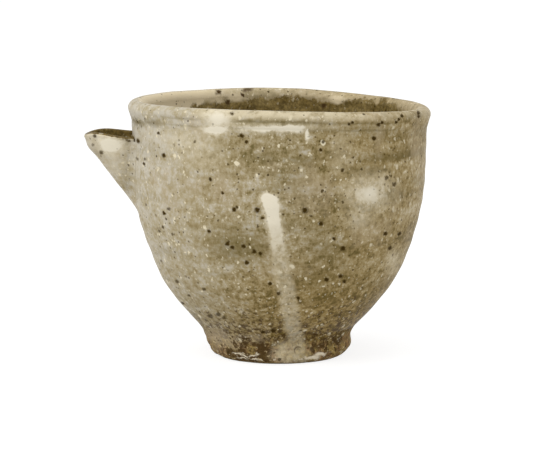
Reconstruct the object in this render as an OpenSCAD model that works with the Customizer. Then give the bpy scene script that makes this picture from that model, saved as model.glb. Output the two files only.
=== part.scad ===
// Katakuchi, a spouted stoneware pourer for sake.
// A thrown bowl with a rolled rim leans a little on a level foot ring. A half-cone, open on top,
// is the spout: its back edge is cut to the curve of the wall and luted on over a pierced hole,
// so the rim runs on unbroken above it.
// Millimetres, +Z up, origin at the centre of the foot's resting face, spout towards -X.
// Heights count from the bowl's own base, and the spout hangs from the rim.

/* [Bowl] */
// Outer radius of the upright upper wall
wall_r = 49; // [44:0.5:56]
// Thickness of the wall
wall_t = 4; // [3:0.1:5.5]
// Height from the base to the crest of the rim
bowl_h = 78.5; // [74:0.5:90]
// Height at which the belly curve runs out into the upright wall
belly_h = 56; // [50:0.5:60]
// Radius of the belly curve in profile
belly_r = 74; // [68:0.5:80]
// Thickness of the floor at its centre
floor_t = 5.5; // [4:0.1:8]
// Radius of the dished floor inside
dish_r = 50; // [46:0.5:70]

/* [Rim] */
// Radius of the rolled bead in section
bead_r = 2.65; // [2.2:0.05:3.2]
// How far the bead stands out of the wall
bead_out = 1.2; // [0.4:0.1:1.8]
// How far below the crest the flank of the bead runs out into the wall
neck_drop = 7; // [6:0.1:9]

/* [Spout] */
// How far the lip lies below the crest of the rim
spout_drop = 12.5; // [9:0.5:16]
// Height of the spout from its lower end to its lip
spout_h = 24; // [20:0.5:28]
// How far the tip stands out of the upright wall
spout_reach = 17.1; // [12:0.1:24]
// Width at the lip, where the spout meets the wall
spout_w = 25; // [20:0.5:34]
// Width at the lower end
spout_low_w = 5.4; // [4:0.2:9]
// How far the lower end stands out of the wall
spout_low_out = 0.8; // [0.6:0.1:2]
// Thickness of the spout at its lip
spout_t = 2.4; // [2:0.1:4]
// How much the lip swells upwards half-way along each side
lip_swell = 0.9; // [0:0.1:2]
// Depth of the trough inside, from the lip to its lower end
trough_h = 18.5; // [16:0.5:20]
// Width of the lower end of the trough inside
trough_low_w = 4; // [2:0.2:6]

/* [Pour hole] */
// Diameter of the hole pierced through the wall
hole_d = 12; // [8:0.5:14]
// How far the middle of the hole lies below the lip
hole_drop = 8; // [7:0.5:10]

/* [Foot] */
// Height of the foot ring
foot_h = 6; // [4:0.2:10]
// Outer radius at the top of the ring
foot_top_r = 25; // [23:0.2:30]
// Outer radius at the bottom of the ring, before the edge is rounded
foot_low_r = 23.8; // [22:0.2:28]
// Radius of the rounded outer edge at the bottom
foot_edge_r = 2.4; // [1:0.1:3]
// Inner radius at the top of the ring
foot_in_top_r = 16.5; // [14:0.2:18.5]
// Inner radius at the bottom of the ring
foot_in_low_r = 18; // [15:0.2:19]

/* [Joints and lean] */
// Least thickness of the slip in the luted joints
slip_t = 0.5; // [0.3:0.1:1]
// Clearance between that slip and the curved wall that it follows in facets
seat_gap = 0.05; // [0.05:0.01:0.2]
// Width of the clay fillet pressed in round the spout
fillet_w = 2.4; // [1:0.1:4]
// How high the clay pressed round the foot climbs the bowl
collar_h = 2.6; // [2:0.1:4]
// How far that clay lies inside the edges of the ring
collar_inset = 0.3; // [0.1:0.1:1]
// Lean of the bowl away from its spout, in degrees
lean = 1.4; // [0:0.1:2.5]
// Height at which the leaning bowl is centred over its foot
lean_h = 33; // [0:1:60]

/* [Hidden] */
$fn = 96;

// Facets along and round the spout, over its lip and round the foot's edge
spout_rows = 8;
spout_columns = 24;
lip_facets = 4;
edge_facets = 6;
// How far a cutting shape runs past the surface that it cuts
overcut = 2;

// Radius of the outer wall at a height
function wall_at(h) = h >= belly_h
    ? wall_r
    : wall_r - belly_r + sqrt(pow(belly_r, 2) - pow(belly_h - h, 2));

base_r = wall_at(0);
base_lift = foot_h + slip_t + base_r * sin(lean);
bead_centre = [wall_r + bead_out - bead_r, bowl_h - bead_r];
// The bead's outer flank: a straight line that leaves the bead without a corner and ends on the wall
flank_foot = [wall_r, bowl_h - neck_drop];
flank_fall = flank_foot - bead_centre;
flank_turn = atan2(flank_fall[1], flank_fall[0]) + acos(bead_r / norm(flank_fall));
flank_top = bead_centre + bead_r * [cos(flank_turn), sin(flank_turn)];

spout_lip_h = bowl_h - spout_drop;
spout_low_h = spout_lip_h - spout_h;
hole_h = spout_lip_h - hole_drop;

// The spout's two faces: lower end height, lower width, lower reach, lip width, lip reach
outer_face = [spout_low_h, spout_low_w, spout_low_out, spout_w, spout_reach];
inner_face = [spout_lip_h - trough_h, trough_low_w, slip_t, spout_w - 2 * spout_t, spout_reach - spout_t];

function mix(a, b, s) = a + (b - a) * s;

// Height of the lip at an angle round the spout: 0 at the tip, 90 at the wall
function lip_at(turn) = spout_lip_h - spout_t / 2 + lip_swell * pow(sin(2 * turn), 2);

// Point on a face of the spout: s runs from its lower end to the lip, turn round it.
// Level sections are half-ellipses whose ends lie on the wall, one slip thickness off it.
function face_point(face, s, turn) =
    let (h = mix(face[0], lip_at(turn), s))
    let (half_w = mix(face[1], face[3], s) / 2)
    let (seat = wall_at(h) + slip_t)
    let (back = sqrt(pow(seat, 2) - pow(half_w, 2)))
    let (keel = mix(wall_at(face[0]) + slip_t + face[2], wall_r + slip_t + face[4], s))
    [-mix(back, keel, cos(turn)), half_w * sin(turn), h];

// Half-round lip between the two faces
function lip_point(turn, a) =
    let (out = face_point(outer_face, 1, turn))
    let (in = face_point(inner_face, 1, turn))
    (out + in) / 2 + (out - in) / 2 * cos(a) + [0, 0, spout_t / 2 * sin(a)];

// Upright section of the spout at one angle: up the outer face, over the lip, down the trough
function spout_section(turn) = concat(
    [for (i = [0:spout_rows]) face_point(outer_face, i / spout_rows, turn)],
    [for (i = [1:lip_facets - 1]) lip_point(turn, 180 * i / lip_facets)],
    [for (i = [spout_rows:-1:0]) face_point(inner_face, i / spout_rows, turn)]);

// The seam between spout and wall, as [s, turn] stations: down one side, under, up the other
seam = concat(
    [for (i = [spout_rows:-1:0]) [i / spout_rows, -90]],
    [for (i = [1:spout_columns - 1]) [0, 180 * i / spout_columns - 90]],
    [for (i = [0:spout_rows]) [i / spout_rows, 90]]);

side_slope = atan((spout_w - spout_low_w) / 2 / spout_h);
fillet_rise = fillet_w / norm([spout_reach - spout_low_out, spout_h]);
// Share of the fillet's width that is lost by the time it reaches the lip
fade_share = 0.7;
// Angle round the spout that the fillet nears where the spout is slim
most_turn = 60;
// Shares of the fillet's width by which its corner lies off the spout's line and it runs on over the wall
corner_share = 0.15;
lap_share = 0.45;
// Share of the way down the spout over which its slope is measured
probe_share = 0.01;

// Width of the fillet, which thins out towards the lip
function fillet_at(s) = fillet_w * (1 - fade_share * pow(s, 3));

// Angle round the spout that the fillet takes up
function fillet_turn(s) =
    let (end = face_point(outer_face, s, 90))
    let (tip = face_point(outer_face, s, 0))
    asin(fillet_at(s) / norm([fillet_at(s) / sin(most_turn), end[0] - tip[0]]));

// Point pressed onto the wall, across from a point near it and moved along the wall
function wall_point(p, along = 0, up = 0) =
    let (h = p[2] + up)
    let (r = wall_at(h) + seat_gap)
    let (angle = atan2(p[1], -p[0]) + along / r * 180 / PI)
    [-r * cos(angle), r * sin(angle), h];

// Hollow curve from a to b, drawn towards a corner
function hollow(a, corner, b, t) = a * pow(1 - t, 2) + corner * 2 * t * (1 - t) + b * pow(t, 2);

// How far a point stands off the seat on the wall
function off_wall(p) = norm([p[0], p[1]]) - wall_at(p[2]) - seat_gap;

// Point on the spout under the fillet: u runs from the fillet's upper end to the seam
function skirt_point(station, u) =
    let (high = mix(fillet_rise, 1, station[0]))
    let (inward = station[1] * (90 - fillet_turn(high)) / 90)
    face_point(outer_face, mix(high, station[0], u), mix(inward, station[1], u));

// Where the spout's surface, carried on straight from the fillet's upper end, meets the wall
function skirt_foot(station) =
    let (top = skirt_point(station, 0))
    let (next = skirt_point(station, probe_share))
    wall_point(top + (next - top) * off_wall(top) / (off_wall(top) - off_wall(next)));

// Hollow curve of the fillet at one station, in four facets from the wall to the spout
function fillet_curve(station) =
    let (heading = station[1] * (90 - side_slope) / 90)
    let (outward = fillet_at(station[0]) * [sin(heading), -cos(heading)])
    let (corner = wall_point(skirt_foot(station), corner_share * outward[0], corner_share * outward[1]))
    let (on_wall = wall_point(corner, lap_share * outward[0], lap_share * outward[1]))
    [for (i = [0:4]) hollow(on_wall, corner, skirt_point(station, 0), i / 4)];

// Section of the luting at one station: slip bed under the edge, fillet in the corner
function luting_section(station) =
    let (edge = face_point(outer_face, station[0], station[1]))
    let (bed = face_point(inner_face, station[0], station[1]))
    let (curve = fillet_curve(station))
    concat(
        [wall_point(bed), wall_point(edge), wall_point(curve[1])],
        curve,
        [skirt_point(station, 0.5), edge, bed]);

// Triangles that fill an end of the luting: the bed, then the fillet from its corner to both its tips
luting_end = [
    [0, 1, 9], [0, 9, 10], [1, 5, 9],
    [1, 4, 5], [1, 2, 4], [2, 3, 4],
    [5, 6, 9], [6, 8, 9], [6, 7, 8]];

// Triangles that fill an end between its two sides, which run to and fro along it
function strip_end(count) = [for (k = [0:floor(count / 2) - 1])
    let (across = count - 1 - k)
    each [[k, k + 1, across], if (k + 1 < across - 1) [k + 1, across - 1, across]]];

// Closed solid through a row of like sections, with both ends filled by the given triangles.
// The facets of the second half mirror those of the first.
module skin(sections, end) {
    count = len(sections[0]);
    last = len(sections) - 1;
    function corner(i, k) = i * count + k % count;
    sides = [for (i = [0:last - 1]) for (k = [0:count - 1]) each i < last / 2
        ? [[corner(i, k), corner(i + 1, k), corner(i, k + 1)],
            [corner(i, k + 1), corner(i + 1, k), corner(i + 1, k + 1)]]
        : [[corner(i, k), corner(i + 1, k + 1), corner(i, k + 1)],
            [corner(i, k), corner(i + 1, k), corner(i + 1, k + 1)]]];
    first_end = [for (f = end) [for (k = f) corner(0, k)]];
    last_end = [for (f = end) [for (k = [2:-1:0]) corner(last, f[k])]];
    polyhedron([for (section = sections) each section], concat(sides, first_end, last_end));
}

// Stands the bowl's own frame, with its lean, on the foot
module on_foot() {
    translate([-lean_h * sin(lean), 0, base_lift])
        rotate([0, lean, 0])
            children();
}

// Half outline of the bowl's outside, below the bead
module outside_outline() {
    intersection() {
        translate([wall_r - belly_r, belly_h])
            circle(belly_r);
        square([wall_r + overcut, belly_h]);
    }
    translate([0, belly_h])
        square([wall_r, bead_centre[1] - belly_h]);
}

// Half outline of the bowl's inside: upright wall, belly curve and dished floor
module inside_outline() {
    intersection() {
        union() {
            intersection() {
                translate([wall_r - belly_r, belly_h])
                    circle(belly_r - wall_t);
                square([wall_r + overcut, belly_h]);
            }
            translate([0, belly_h])
                square([wall_r - wall_t, bowl_h - belly_h]);
        }
        translate([0, floor_t + dish_r])
            circle(dish_r);
    }
}

// Half outline of the rolled rim: the bead and its flank
module rim_outline() {
    translate(bead_centre)
        circle(bead_r);
    polygon([flank_foot, flank_top, bead_centre, flank_foot - [wall_t / 2, 0]]);
}

module pour_hole() {
    translate([-wall_r - overcut, 0, hole_h])
        rotate([0, 90, 0])
            cylinder(d = hole_d, h = wall_t + 2 * overcut);
}

module bowl() {
    color("#a39a7d")
        on_foot()
            difference() {
                rotate_extrude() {
                    difference() {
                        outside_outline();
                        inside_outline();
                    }
                    rim_outline();
                }
                pour_hole();
            }
}

module spout() {
    sections = [for (i = [0:spout_columns]) spout_section(180 * i / spout_columns - 90)];
    color("#b3ab92")
        on_foot()
            skin(sections, strip_end(len(sections[0])));
}

module spout_luting() {
    color("#8f8264")
        on_foot()
            skin([for (station = seam) luting_section(station)], luting_end);
}

module foot_ring() {
    edge_centre = [foot_low_r - foot_edge_r, foot_edge_r];
    edge = [for (i = [0:edge_facets])
        let (a = 90 * i / edge_facets)
        edge_centre + foot_edge_r * [sin(a), -cos(a)]];
    color("#5f4f3a")
        rotate_extrude()
            polygon(concat(
                [[foot_in_low_r, 0]],
                edge,
                [[foot_top_r, foot_h], [foot_in_top_r, foot_h]]));
}

module foot_luting() {
    color("#75664a")
        difference() {
            translate([0, 0, foot_h])
                rotate_extrude()
                    translate([foot_in_top_r + collar_inset, 0])
                        square([foot_top_r - foot_in_top_r - 2 * collar_inset, collar_h]);
            on_foot()
                rotate_extrude()
                    outside_outline();
        }
}

bowl();
spout();
spout_luting();
foot_ring();
foot_luting();
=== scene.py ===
"""Looks of a katakuchi sake pourer: thrown bowl, luted spout and foot ring under an ash glaze."""

import math
from collections import namedtuple

import bmesh
import bpy
from bpy.props import FloatProperty, FloatVectorProperty, PointerProperty
from mathutils import Matrix, Vector, noise


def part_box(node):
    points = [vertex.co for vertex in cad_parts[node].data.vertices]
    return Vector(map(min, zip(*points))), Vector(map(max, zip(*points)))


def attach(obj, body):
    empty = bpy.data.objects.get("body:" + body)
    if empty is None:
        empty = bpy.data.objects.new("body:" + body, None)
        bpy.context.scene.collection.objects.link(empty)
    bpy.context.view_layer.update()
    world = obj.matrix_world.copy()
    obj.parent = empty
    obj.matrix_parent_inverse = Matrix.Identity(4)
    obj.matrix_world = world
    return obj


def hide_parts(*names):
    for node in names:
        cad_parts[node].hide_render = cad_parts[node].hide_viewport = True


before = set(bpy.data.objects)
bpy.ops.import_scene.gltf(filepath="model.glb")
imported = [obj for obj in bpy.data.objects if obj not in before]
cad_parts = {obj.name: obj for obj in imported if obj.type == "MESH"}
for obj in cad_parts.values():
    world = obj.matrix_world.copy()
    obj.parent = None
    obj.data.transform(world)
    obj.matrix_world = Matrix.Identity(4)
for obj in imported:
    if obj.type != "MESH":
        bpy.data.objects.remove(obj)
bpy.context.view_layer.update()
BOWL_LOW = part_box("bowl")[0]
FOOT_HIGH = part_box("foot_ring")[1]

bl_info = {
    "name": "Katakuchi sake pourer",
    "version": (1, 0, 0),
    "blender": (4, 5, 0),
    "location": "3D View > Sidebar > Pourer",
    "description": "Models a spouted stoneware bowl with its glaze around a packed CAD frame",
    "category": "Object",
}

BODY = "root"

# Steps of the lathe round the axis, and along each stretch of the bowl's outline
TURN_STEPS = 420
DISH_STEPS = 22
INNER_BELLY_STEPS = 22
INNER_WALL_STEPS = 12
BEAD_STEPS = 26
FLANK_STEPS = 16
OUTER_WALL_STEPS = 22
OUTER_BELLY_STEPS = 82
BASE_STEPS = 8
# Steps round the spout, and up its outer face, over its lip and down its trough
SPOUT_TURN_STEPS = 80
SPOUT_FACE_STEPS = 24
SPOUT_LIP_STEPS = 10
# Steps along each stretch of the spout's seam and across its fillet
SEAM_STEPS = 26
FILLET_STEPS = 8
# Steps over the rounded edges of the pour hole
HOLE_EDGE_STEPS = 3
# Steps round the foot, and along each stretch of its outline and of its collar
FOOT_TURN_STEPS = 360
FOOT_SOLE_STEPS = 5
FOOT_EDGE_STEPS = 10
FOOT_SIDE_STEPS = 26
FOOT_TOP_STEPS = 4
FOOT_INNER_STEPS = 8
COLLAR_CURVE_STEPS = 18

# A patch in the glaze, on the side of the bowl that has the spout at its left: its middle and half sizes
# seen level from that side, how thick it lies, how soft its edge is and how strong it is
Patch = namedtuple("Patch", "x z half_w half_h thickness edge strength")
MM = 0.001
# Distance under which points count as one
TINY = 1e-6


def mark(x, z, half_w, half_h, edge, strength, thickness=0.0):
    """A patch given in millimetres."""
    return Patch(x * MM, z * MM, half_w * MM, half_h * MM, thickness * MM, edge, strength)


def spot(x, z, radius=0.6, strength=1.0):
    """A small round patch with a soft edge."""
    return mark(x, z, radius, radius, 0.5, strength)


# White glaze in front
WHITE_PATCHES = (
    # Drip over the rim and the pool under it
    mark(-19.4, 83.5, 4.8, 3.8, 0.92, 1.00, 0.08), mark(-19.8, 80.3, 4.6, 1.7, 0.65, 1.12, 0.12),
    # Roll under the rim, with a drop that hangs from it
    mark(-3.0, 80.9, 13.0, 1.4, 0.80, 1.00, 0.10), mark(3.6, 80.8, 6.4, 1.3, 0.70, 1.10, 0.18),
    mark(9.1, 79.0, 0.7, 1.9, 0.50, 1.00, 0.22),
    # Clouds on the wall
    mark(29.4, 59.0, 6.6, 5.4, 0.99, 0.95, 0.04), mark(27.8, 55.4, 4.4, 3.6, 0.97, 0.58, 0.05),
    mark(26.2, 51.8, 4.2, 3.2, 0.95, 0.62, 0.06),
    mark(38.0, 34.5, 2.5, 4.0, 0.85, 0.50), mark(20.3, 72.5, 3.0, 6.5, 0.95, 0.30),
    # The two clouds at the upper left are partly pale glaze and partly a painted sheen, a cool pale cast
    # that stands in for reflected light
    mark(-28.6, 76.0, 8.0, 4.0, 0.90, 0.56), mark(-25.0, 72.0, 6.5, 4.5, 0.90, 0.40),
    # Cheek of the spout
    mark(-56.0, 71.6, 5.0, 3.6, 0.75, 1.12), mark(-52.8, 71.6, 3.4, 2.6, 0.90, 0.85),
    mark(-55.0, 69.2, 3.2, 2.6, 0.90, 0.75), mark(-53.5, 66.0, 5.0, 5.0, 0.90, 0.45),
    mark(-61.8, 71.5, 2.4, 3.2, 0.90, 0.45),
    # Foot
    mark(4.0, 3.8, 5.2, 4.2, 0.60, 0.70, 0.10))
RIM_DRIPS = WHITE_PATCHES[:2]
# Dark smears and lines of thin glaze in front, and the larger iron spots
DARK_SMEARS = (
    mark(38.0, 70.2, 12.0, 1.4, 0.8, 1.0), mark(40.0, 76.4, 8.0, 1.3, 0.9, 0.5),
    mark(-5.0, 71.4, 5.0, 1.4, 0.8, 0.7), mark(7.0, 70.7, 6.0, 1.2, 0.8, 0.7),
    mark(-12.5, 42.5, 8.0, 4.5, 0.9, 0.8), mark(3.0, 65.0, 5.0, 3.0, 0.9, 0.5),
    mark(16.0, 42.0, 6.0, 6.0, 0.9, 0.4), mark(12.0, 31.0, 6.0, 4.0, 0.9, 0.5),
    mark(28.5, 66.3, 5.0, 1.8, 0.9, 0.5), mark(36.5, 57.6, 5.5, 2.0, 0.9, 0.6),
    mark(-46.0, 79.6, 2.4, 1.3, 0.9, 1.2), mark(-51.0, 74.2, 2.6, 0.8, 0.8, 1.3),
    mark(-50.0, 72.8, 1.2, 1.6, 0.9, 0.9), mark(-41.0, 80.6, 3.0, 0.9, 0.9, 0.8),
    mark(7.5, 82.8, 7.5, 1.0, 0.9, 0.48), mark(-8.0, 82.6, 4.0, 0.8, 0.9, 0.6),
    mark(-60.5, 69.5, 2.0, 3.0, 0.9, 0.5), mark(-50.5, 62.0, 1.8, 6.0, 0.9, 0.35))
IRON_SPOTS = (
    spot(-21.4, 64.1), spot(-17.6, 60.1, 0.5), spot(-13.8, 54.8, 0.7), spot(-6.5, 54.8, 0.9),
    spot(-4.9, 52.3), spot(-22.0, 47.1), spot(-16.1, 43.4, 0.7), spot(-14.5, 42.2),
    spot(-10.9, 42.8, 0.7), spot(-7.6, 41.1, 0.7), spot(-5.5, 40.5), spot(-10.0, 37.2, 0.7),
    spot(-36.9, 51.5), spot(-36.8, 70.5, 0.7), spot(-11.4, 78.4, 0.7), spot(-9.9, 76.5),
    spot(-2.5, 30.1), spot(0.2, 26.7, 0.7), spot(8.6, 54.8, 1.0), spot(13.6, 50.3, 0.8),
    spot(17.9, 45.0), spot(20.8, 41.5, 0.8), spot(34.9, 44.9, 0.7), spot(39.8, 43.9, 0.7),
    spot(36.6, 39.5, 0.7), spot(20.2, 31.9, 0.8), spot(15.6, 31.1, 0.7), spot(21.5, 29.8),
    spot(34.9, 63.5, 0.7), spot(37.6, 61.1, 0.7), spot(30.6, 76.7, 0.7), spot(13.5, 73.9),
    spot(20.4, 67.2), spot(6.5, 25.0), spot(-1.6, 12.5, 0.9), spot(-4.9, 11.8, 0.7), spot(45.8, 83.2),
    spot(46.0, 82.2, 0.5), spot(39.9, 83.1, 0.5), spot(38.9, 82.2, 0.5), spot(37.9, 81.4, 0.5),
    spot(33.2, 81.7, 0.5), spot(32.1, 81.0), spot(23.5, 82.4, 0.5), spot(22.5, 81.8, 0.5),
    spot(-14.4, 85.3, 0.5), spot(-60.9, 74.5, 0.7), spot(-35.2, 53.2, 0.6, 0.8),
    spot(-37.4, 46.6, 0.5, 0.8), spot(-38.8, 44.9, 0.5, 0.7), spot(-34.0, 44.8, 0.5, 0.7),
    spot(-38.6, 33.9, 0.5, 0.7), spot(-33.2, 27.8, 0.7, 0.8), spot(-29.2, 23.3, 0.5, 0.8),
    spot(-24.0, 26.7, 0.6, 0.8), spot(-22.3, 16.3, 0.8, 0.8), spot(-19.6, 17.6, 0.8, 0.9),
    spot(-17.6, 16.4, 0.7, 0.8), spot(-43.5, 68.1, 0.5, 0.7), spot(-58.9, 68.7, 0.7),
    spot(-53.6, 74.8, 0.5, 0.8), spot(-52.3, 74.5, 0.5, 0.9), spot(-51.1, 74.2), spot(-50.0, 73.8),
    spot(-49.2, 73.2, 0.5), spot(-61.8, 71.2, 0.5, 0.8), spot(-46.0, 73.5, 0.7), spot(-43.8, 66.5, 0.5),
    spot(-38.5, 77.4, 0.5), spot(-46.5, 67.4, 0.6, 0.7), spot(-31.7, 18.8, 0.6))
# Pale and dark marks on the inside, across from the side seen in front
FAR_PALE = (
    mark(-23.5, 83.0, 5.0, 1.3, 0.8, 0.7), mark(-15.0, 83.1, 3.2, 1.2, 0.8, 0.8),
    mark(21.0, 82.6, 2.6, 1.3, 0.6, 1.0))
FAR_DARK = (
    spot(-20.8, 85.3, 1.0), spot(-17.5, 81.7, 0.9), mark(-10.6, 85.9, 1.6, 0.9, 0.5, 0.9),
    spot(-12.3, 84.0, 0.7), spot(16.2, 80.3, 0.9))
# Bare dark clay and pale beige glaze on the foot, and cream chips along its lower edge
FOOT_DARK = (
    mark(-10.2, 2.4, 5.8, 1.6, 0.9, 1.6), mark(-10.8, 6.6, 4.6, 2.0, 0.9, 0.9),
    mark(-5.2, 5.4, 2.6, 2.6, 0.9, 0.9), mark(-12.8, 3.8, 4.0, 1.8, 0.9, 0.9),
    mark(12.6, 9.7, 3.2, 1.8, 0.9, 0.9), mark(14.4, 5.9, 3.6, 2.0, 0.9, 0.8),
    mark(19.0, 7.2, 2.4, 2.6, 0.9, 0.5))
FOOT_BEIGE = (
    mark(-20.6, 8.0, 3.4, 3.4, 0.9, 1.0), mark(-15.8, 6.6, 3.4, 2.6, 0.9, 0.8),
    mark(-26.0, 15.5, 3.5, 3.5, 0.9, 0.7), mark(-8.5, 9.0, 4.0, 1.8, 0.9, 0.6))
CREAM_CHIPS = (
    mark(-13.0, 3.1, 1.6, 0.26, 0.6, 1.1), mark(-10.6, 2.5, 1.5, 0.26, 0.6, 1.1),
    mark(-8.0, 2.9, 1.2, 0.24, 0.6, 0.9), mark(-11.4, 1.5, 1.8, 0.24, 0.6, 1.0),
    mark(-7.4, 1.5, 1.5, 0.24, 0.6, 0.9), mark(-6.6, 3.4, 0.8, 0.3, 0.6, 0.8),
    mark(11.6, 2.0, 2.4, 0.7, 0.4, 1.0), mark(14.2, 2.8, 2.0, 0.6, 0.5, 1.0))


def length(name, default, description):
    """A size in metres."""
    return FloatProperty(name=name, default=default, description=description, unit="LENGTH", precision=5)


def angle(name, default, description):
    """An angle, given in degrees."""
    turn = math.radians(default)
    return FloatProperty(name=name, default=turn, description=description, unit="ROTATION")


def share(name, default, description):
    """A plain number."""
    return FloatProperty(name=name, default=default, description=description, precision=3)


def power(name, default, description):
    """A lamp's power."""
    return FloatProperty(name=name, default=default, description=description, unit="POWER")


# Highest value of a colour: a tint may lift a channel a little
TINT_MAX = 1.1


def colour(name, default, description):
    """A linear colour."""
    return FloatVectorProperty(
        name=name, default=default, description=description, subtype="COLOR", min=0, max=TINT_MAX)


class BowlSizes(bpy.types.PropertyGroup):
    """Sizes of the thrown bowl, in its own frame, which leans a little on the foot."""

    wall_r: length("Wall radius", 0.049, "Outer radius of the upright wall")
    wall_t: length("Wall thickness", 0.004, "Thickness of the wall")
    height: length("Height", 0.0785, "From the base to the crest of the rim")
    belly_h: length("Belly height", 0.056, "Where the upright wall turns into the belly")
    belly_r: length("Belly radius", 0.074, "Radius of the belly's curve")
    floor_t: length("Floor thickness", 0.0055, "Thickness of the floor at its middle")
    dish_r: length("Dish radius", 0.050, "Radius of the dished floor")
    bead_r: length("Bead radius", 0.00265, "Radius of the rolled rim")
    bead_out: length("Bead overhang", 0.0012, "How far the rolled rim stands out from the wall")
    neck_drop: length("Neck drop", 0.007, "How far below the crest the rim's flank ends on the wall")
    hole_d: length("Pour hole", 0.012, "Width of the hole behind the spout")
    hole_h: length("Pour hole height", 0.058, "Height of the hole's middle above the base")
    hole_edge: length("Pour hole edge", 0.0008, "Rounding of the hole's edges")
    lean: angle("Lean", 1.4, "Lean of the bowl away from the spout")
    lean_h: length("Lean height", 0.033, "Height above the base about which the bowl leans")
    wobble: length("Wobble", 0.00030, "How far the thrown wall strays from round")
    ring_depth: length("Throwing rings", 0.00010, "Depth of the finger rings round the wall")
    ring_pitch: length("Ring pitch", 0.0068, "Distance between two finger rings")
    line_depth: length("Rim lines", 0.00022, "Depth of the two lines drawn under the rim")
    draw_out: length("Drawn-out side", 0.0011, "How far the mouth is drawn out on the spout's side")
    saddle: length("Saddle of the rim", 0.0006, "Rise of the rim in front and behind, fall at its sides")
    far_dip: length("Dip of the rim", 0.00045, "Dip of the rim behind, between its sides and middle")
    fullness: length("Low fullness", 0.0005, "How far the belly swells above the foot")
    set_over: length("Belly set over", 0.0004, "How far the belly lies over, away from the spout")


class SpoutSizes(bpy.types.PropertyGroup):
    """Sizes of the spout and its luting, in the bowl's frame."""

    lip_h: length("Lip height", 0.066, "Height of the lip above the bowl's base")
    low_h: length("Lower end", 0.042, "Height of the spout's lower end")
    reach: length("Reach", 0.0171, "How far the lip stands out from the wall")
    width: length("Width", 0.025, "Width of the spout at its lip")
    low_width: length("Lower width", 0.0054, "Width of the spout's lower end")
    low_out: length("Lower reach", 0.0004, "How far the lower end stands out from the wall")
    thickness: length("Thickness", 0.0024, "Thickness of the spout's wall")
    lip_swell: length("Lip swell", 0.0009, "Rise of the lip between tip and wall")
    trough_low_h: length("Trough end", 0.0475, "Height of the trough's lower end")
    trough_low_width: length("Trough end width", 0.004, "Width of the trough's lower end")
    slip_t: length("Slip", 0.0005, "Thickness of the slip bed under the spout")
    tip_round: length("Tip rounding", 0.0007, "How far the tip is rounded back under its lip")
    tip_drop: length("Tip drop", 0.0006, "How far the glaze stands out where it gathers under the tip")
    keel_swell: length("Keel swell", 0.0003, "How far the keel swells between the tip and the wall")
    fillet_w: length("Fillet", 0.0024, "Width of the clay fillet round the spout")
    fillet_fade: share("Fillet fade", 0.7, "Share of the fillet's width that is lost towards the lip")
    fillet_lift: share("Fillet lift", 0.25, "Share of its width that the corner lies off the spout")
    fillet_lap: share("Fillet lap", 0.7, "Share of its width that the fillet runs on over the wall")
    dents: length("Dents", 0.00016, "Depth of the finger dents in the spout")


class FootSizes(bpy.types.PropertyGroup):
    """Sizes of the foot ring and its luting."""

    top_r: length("Upper radius", 0.0245, "Outer radius under the collar")
    low_r: length("Lower radius", 0.0243, "Outer radius near the table")
    edge_r: length("Edge radius", 0.0024, "Rounding of the lower outer edge")
    in_top_r: length("Inner upper radius", 0.0165, "Inner radius under the bowl")
    in_low_r: length("Inner lower radius", 0.018, "Inner radius at the table")
    collar_h: length("Collar height", 0.0053, "Height of the luting above the ring")
    collar_lap: length("Collar lap", 0.0010, "How far the luting reaches down over the ring")
    flare: length("Flare", 0.0004, "How far the ring flares on the side away from the spout")
    set_over: length("Set over", 0.0005, "How far the resting face lies to that side")
    wear: length("Wear", 0.0008, "How far the lower edge is worn on the spout's side")
    trim: length("Trim", 0.0011, "How far the lower edge is cut back on the other side")
    lumps: length("Lumps", 0.00030, "How far the trimmed clay strays from round")
    chip_depth: length("Chips", 0.00050, "Depth of the chips along the lower edge")
    crater: length("Crater", 0.00030, "Height of the wall round a burst bubble in the glaze")


class RunSizes(bpy.types.PropertyGroup):
    """The long white run of glaze down the side."""

    top_x: length("Top X", -0.0027, "Middle of the run's round head")
    top_z: length("Top Z", 0.0587, "Height of the run's round head")
    low_x: length("Lower X", 0.0052, "Middle of the run at its end")
    low_z: length("Lower Z", 0.0125, "Height of the run's end")
    head_w: length("Head half width", 0.0035, "Half the width of the head")
    tail_w: length("Tail half width", 0.0026, "Half the width of the run below its head")
    head_h: length("Head height", 0.0022, "Height of the head's round end")
    thickness: length("Thickness", 0.00030, "How far the run stands out from the wall")


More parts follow.
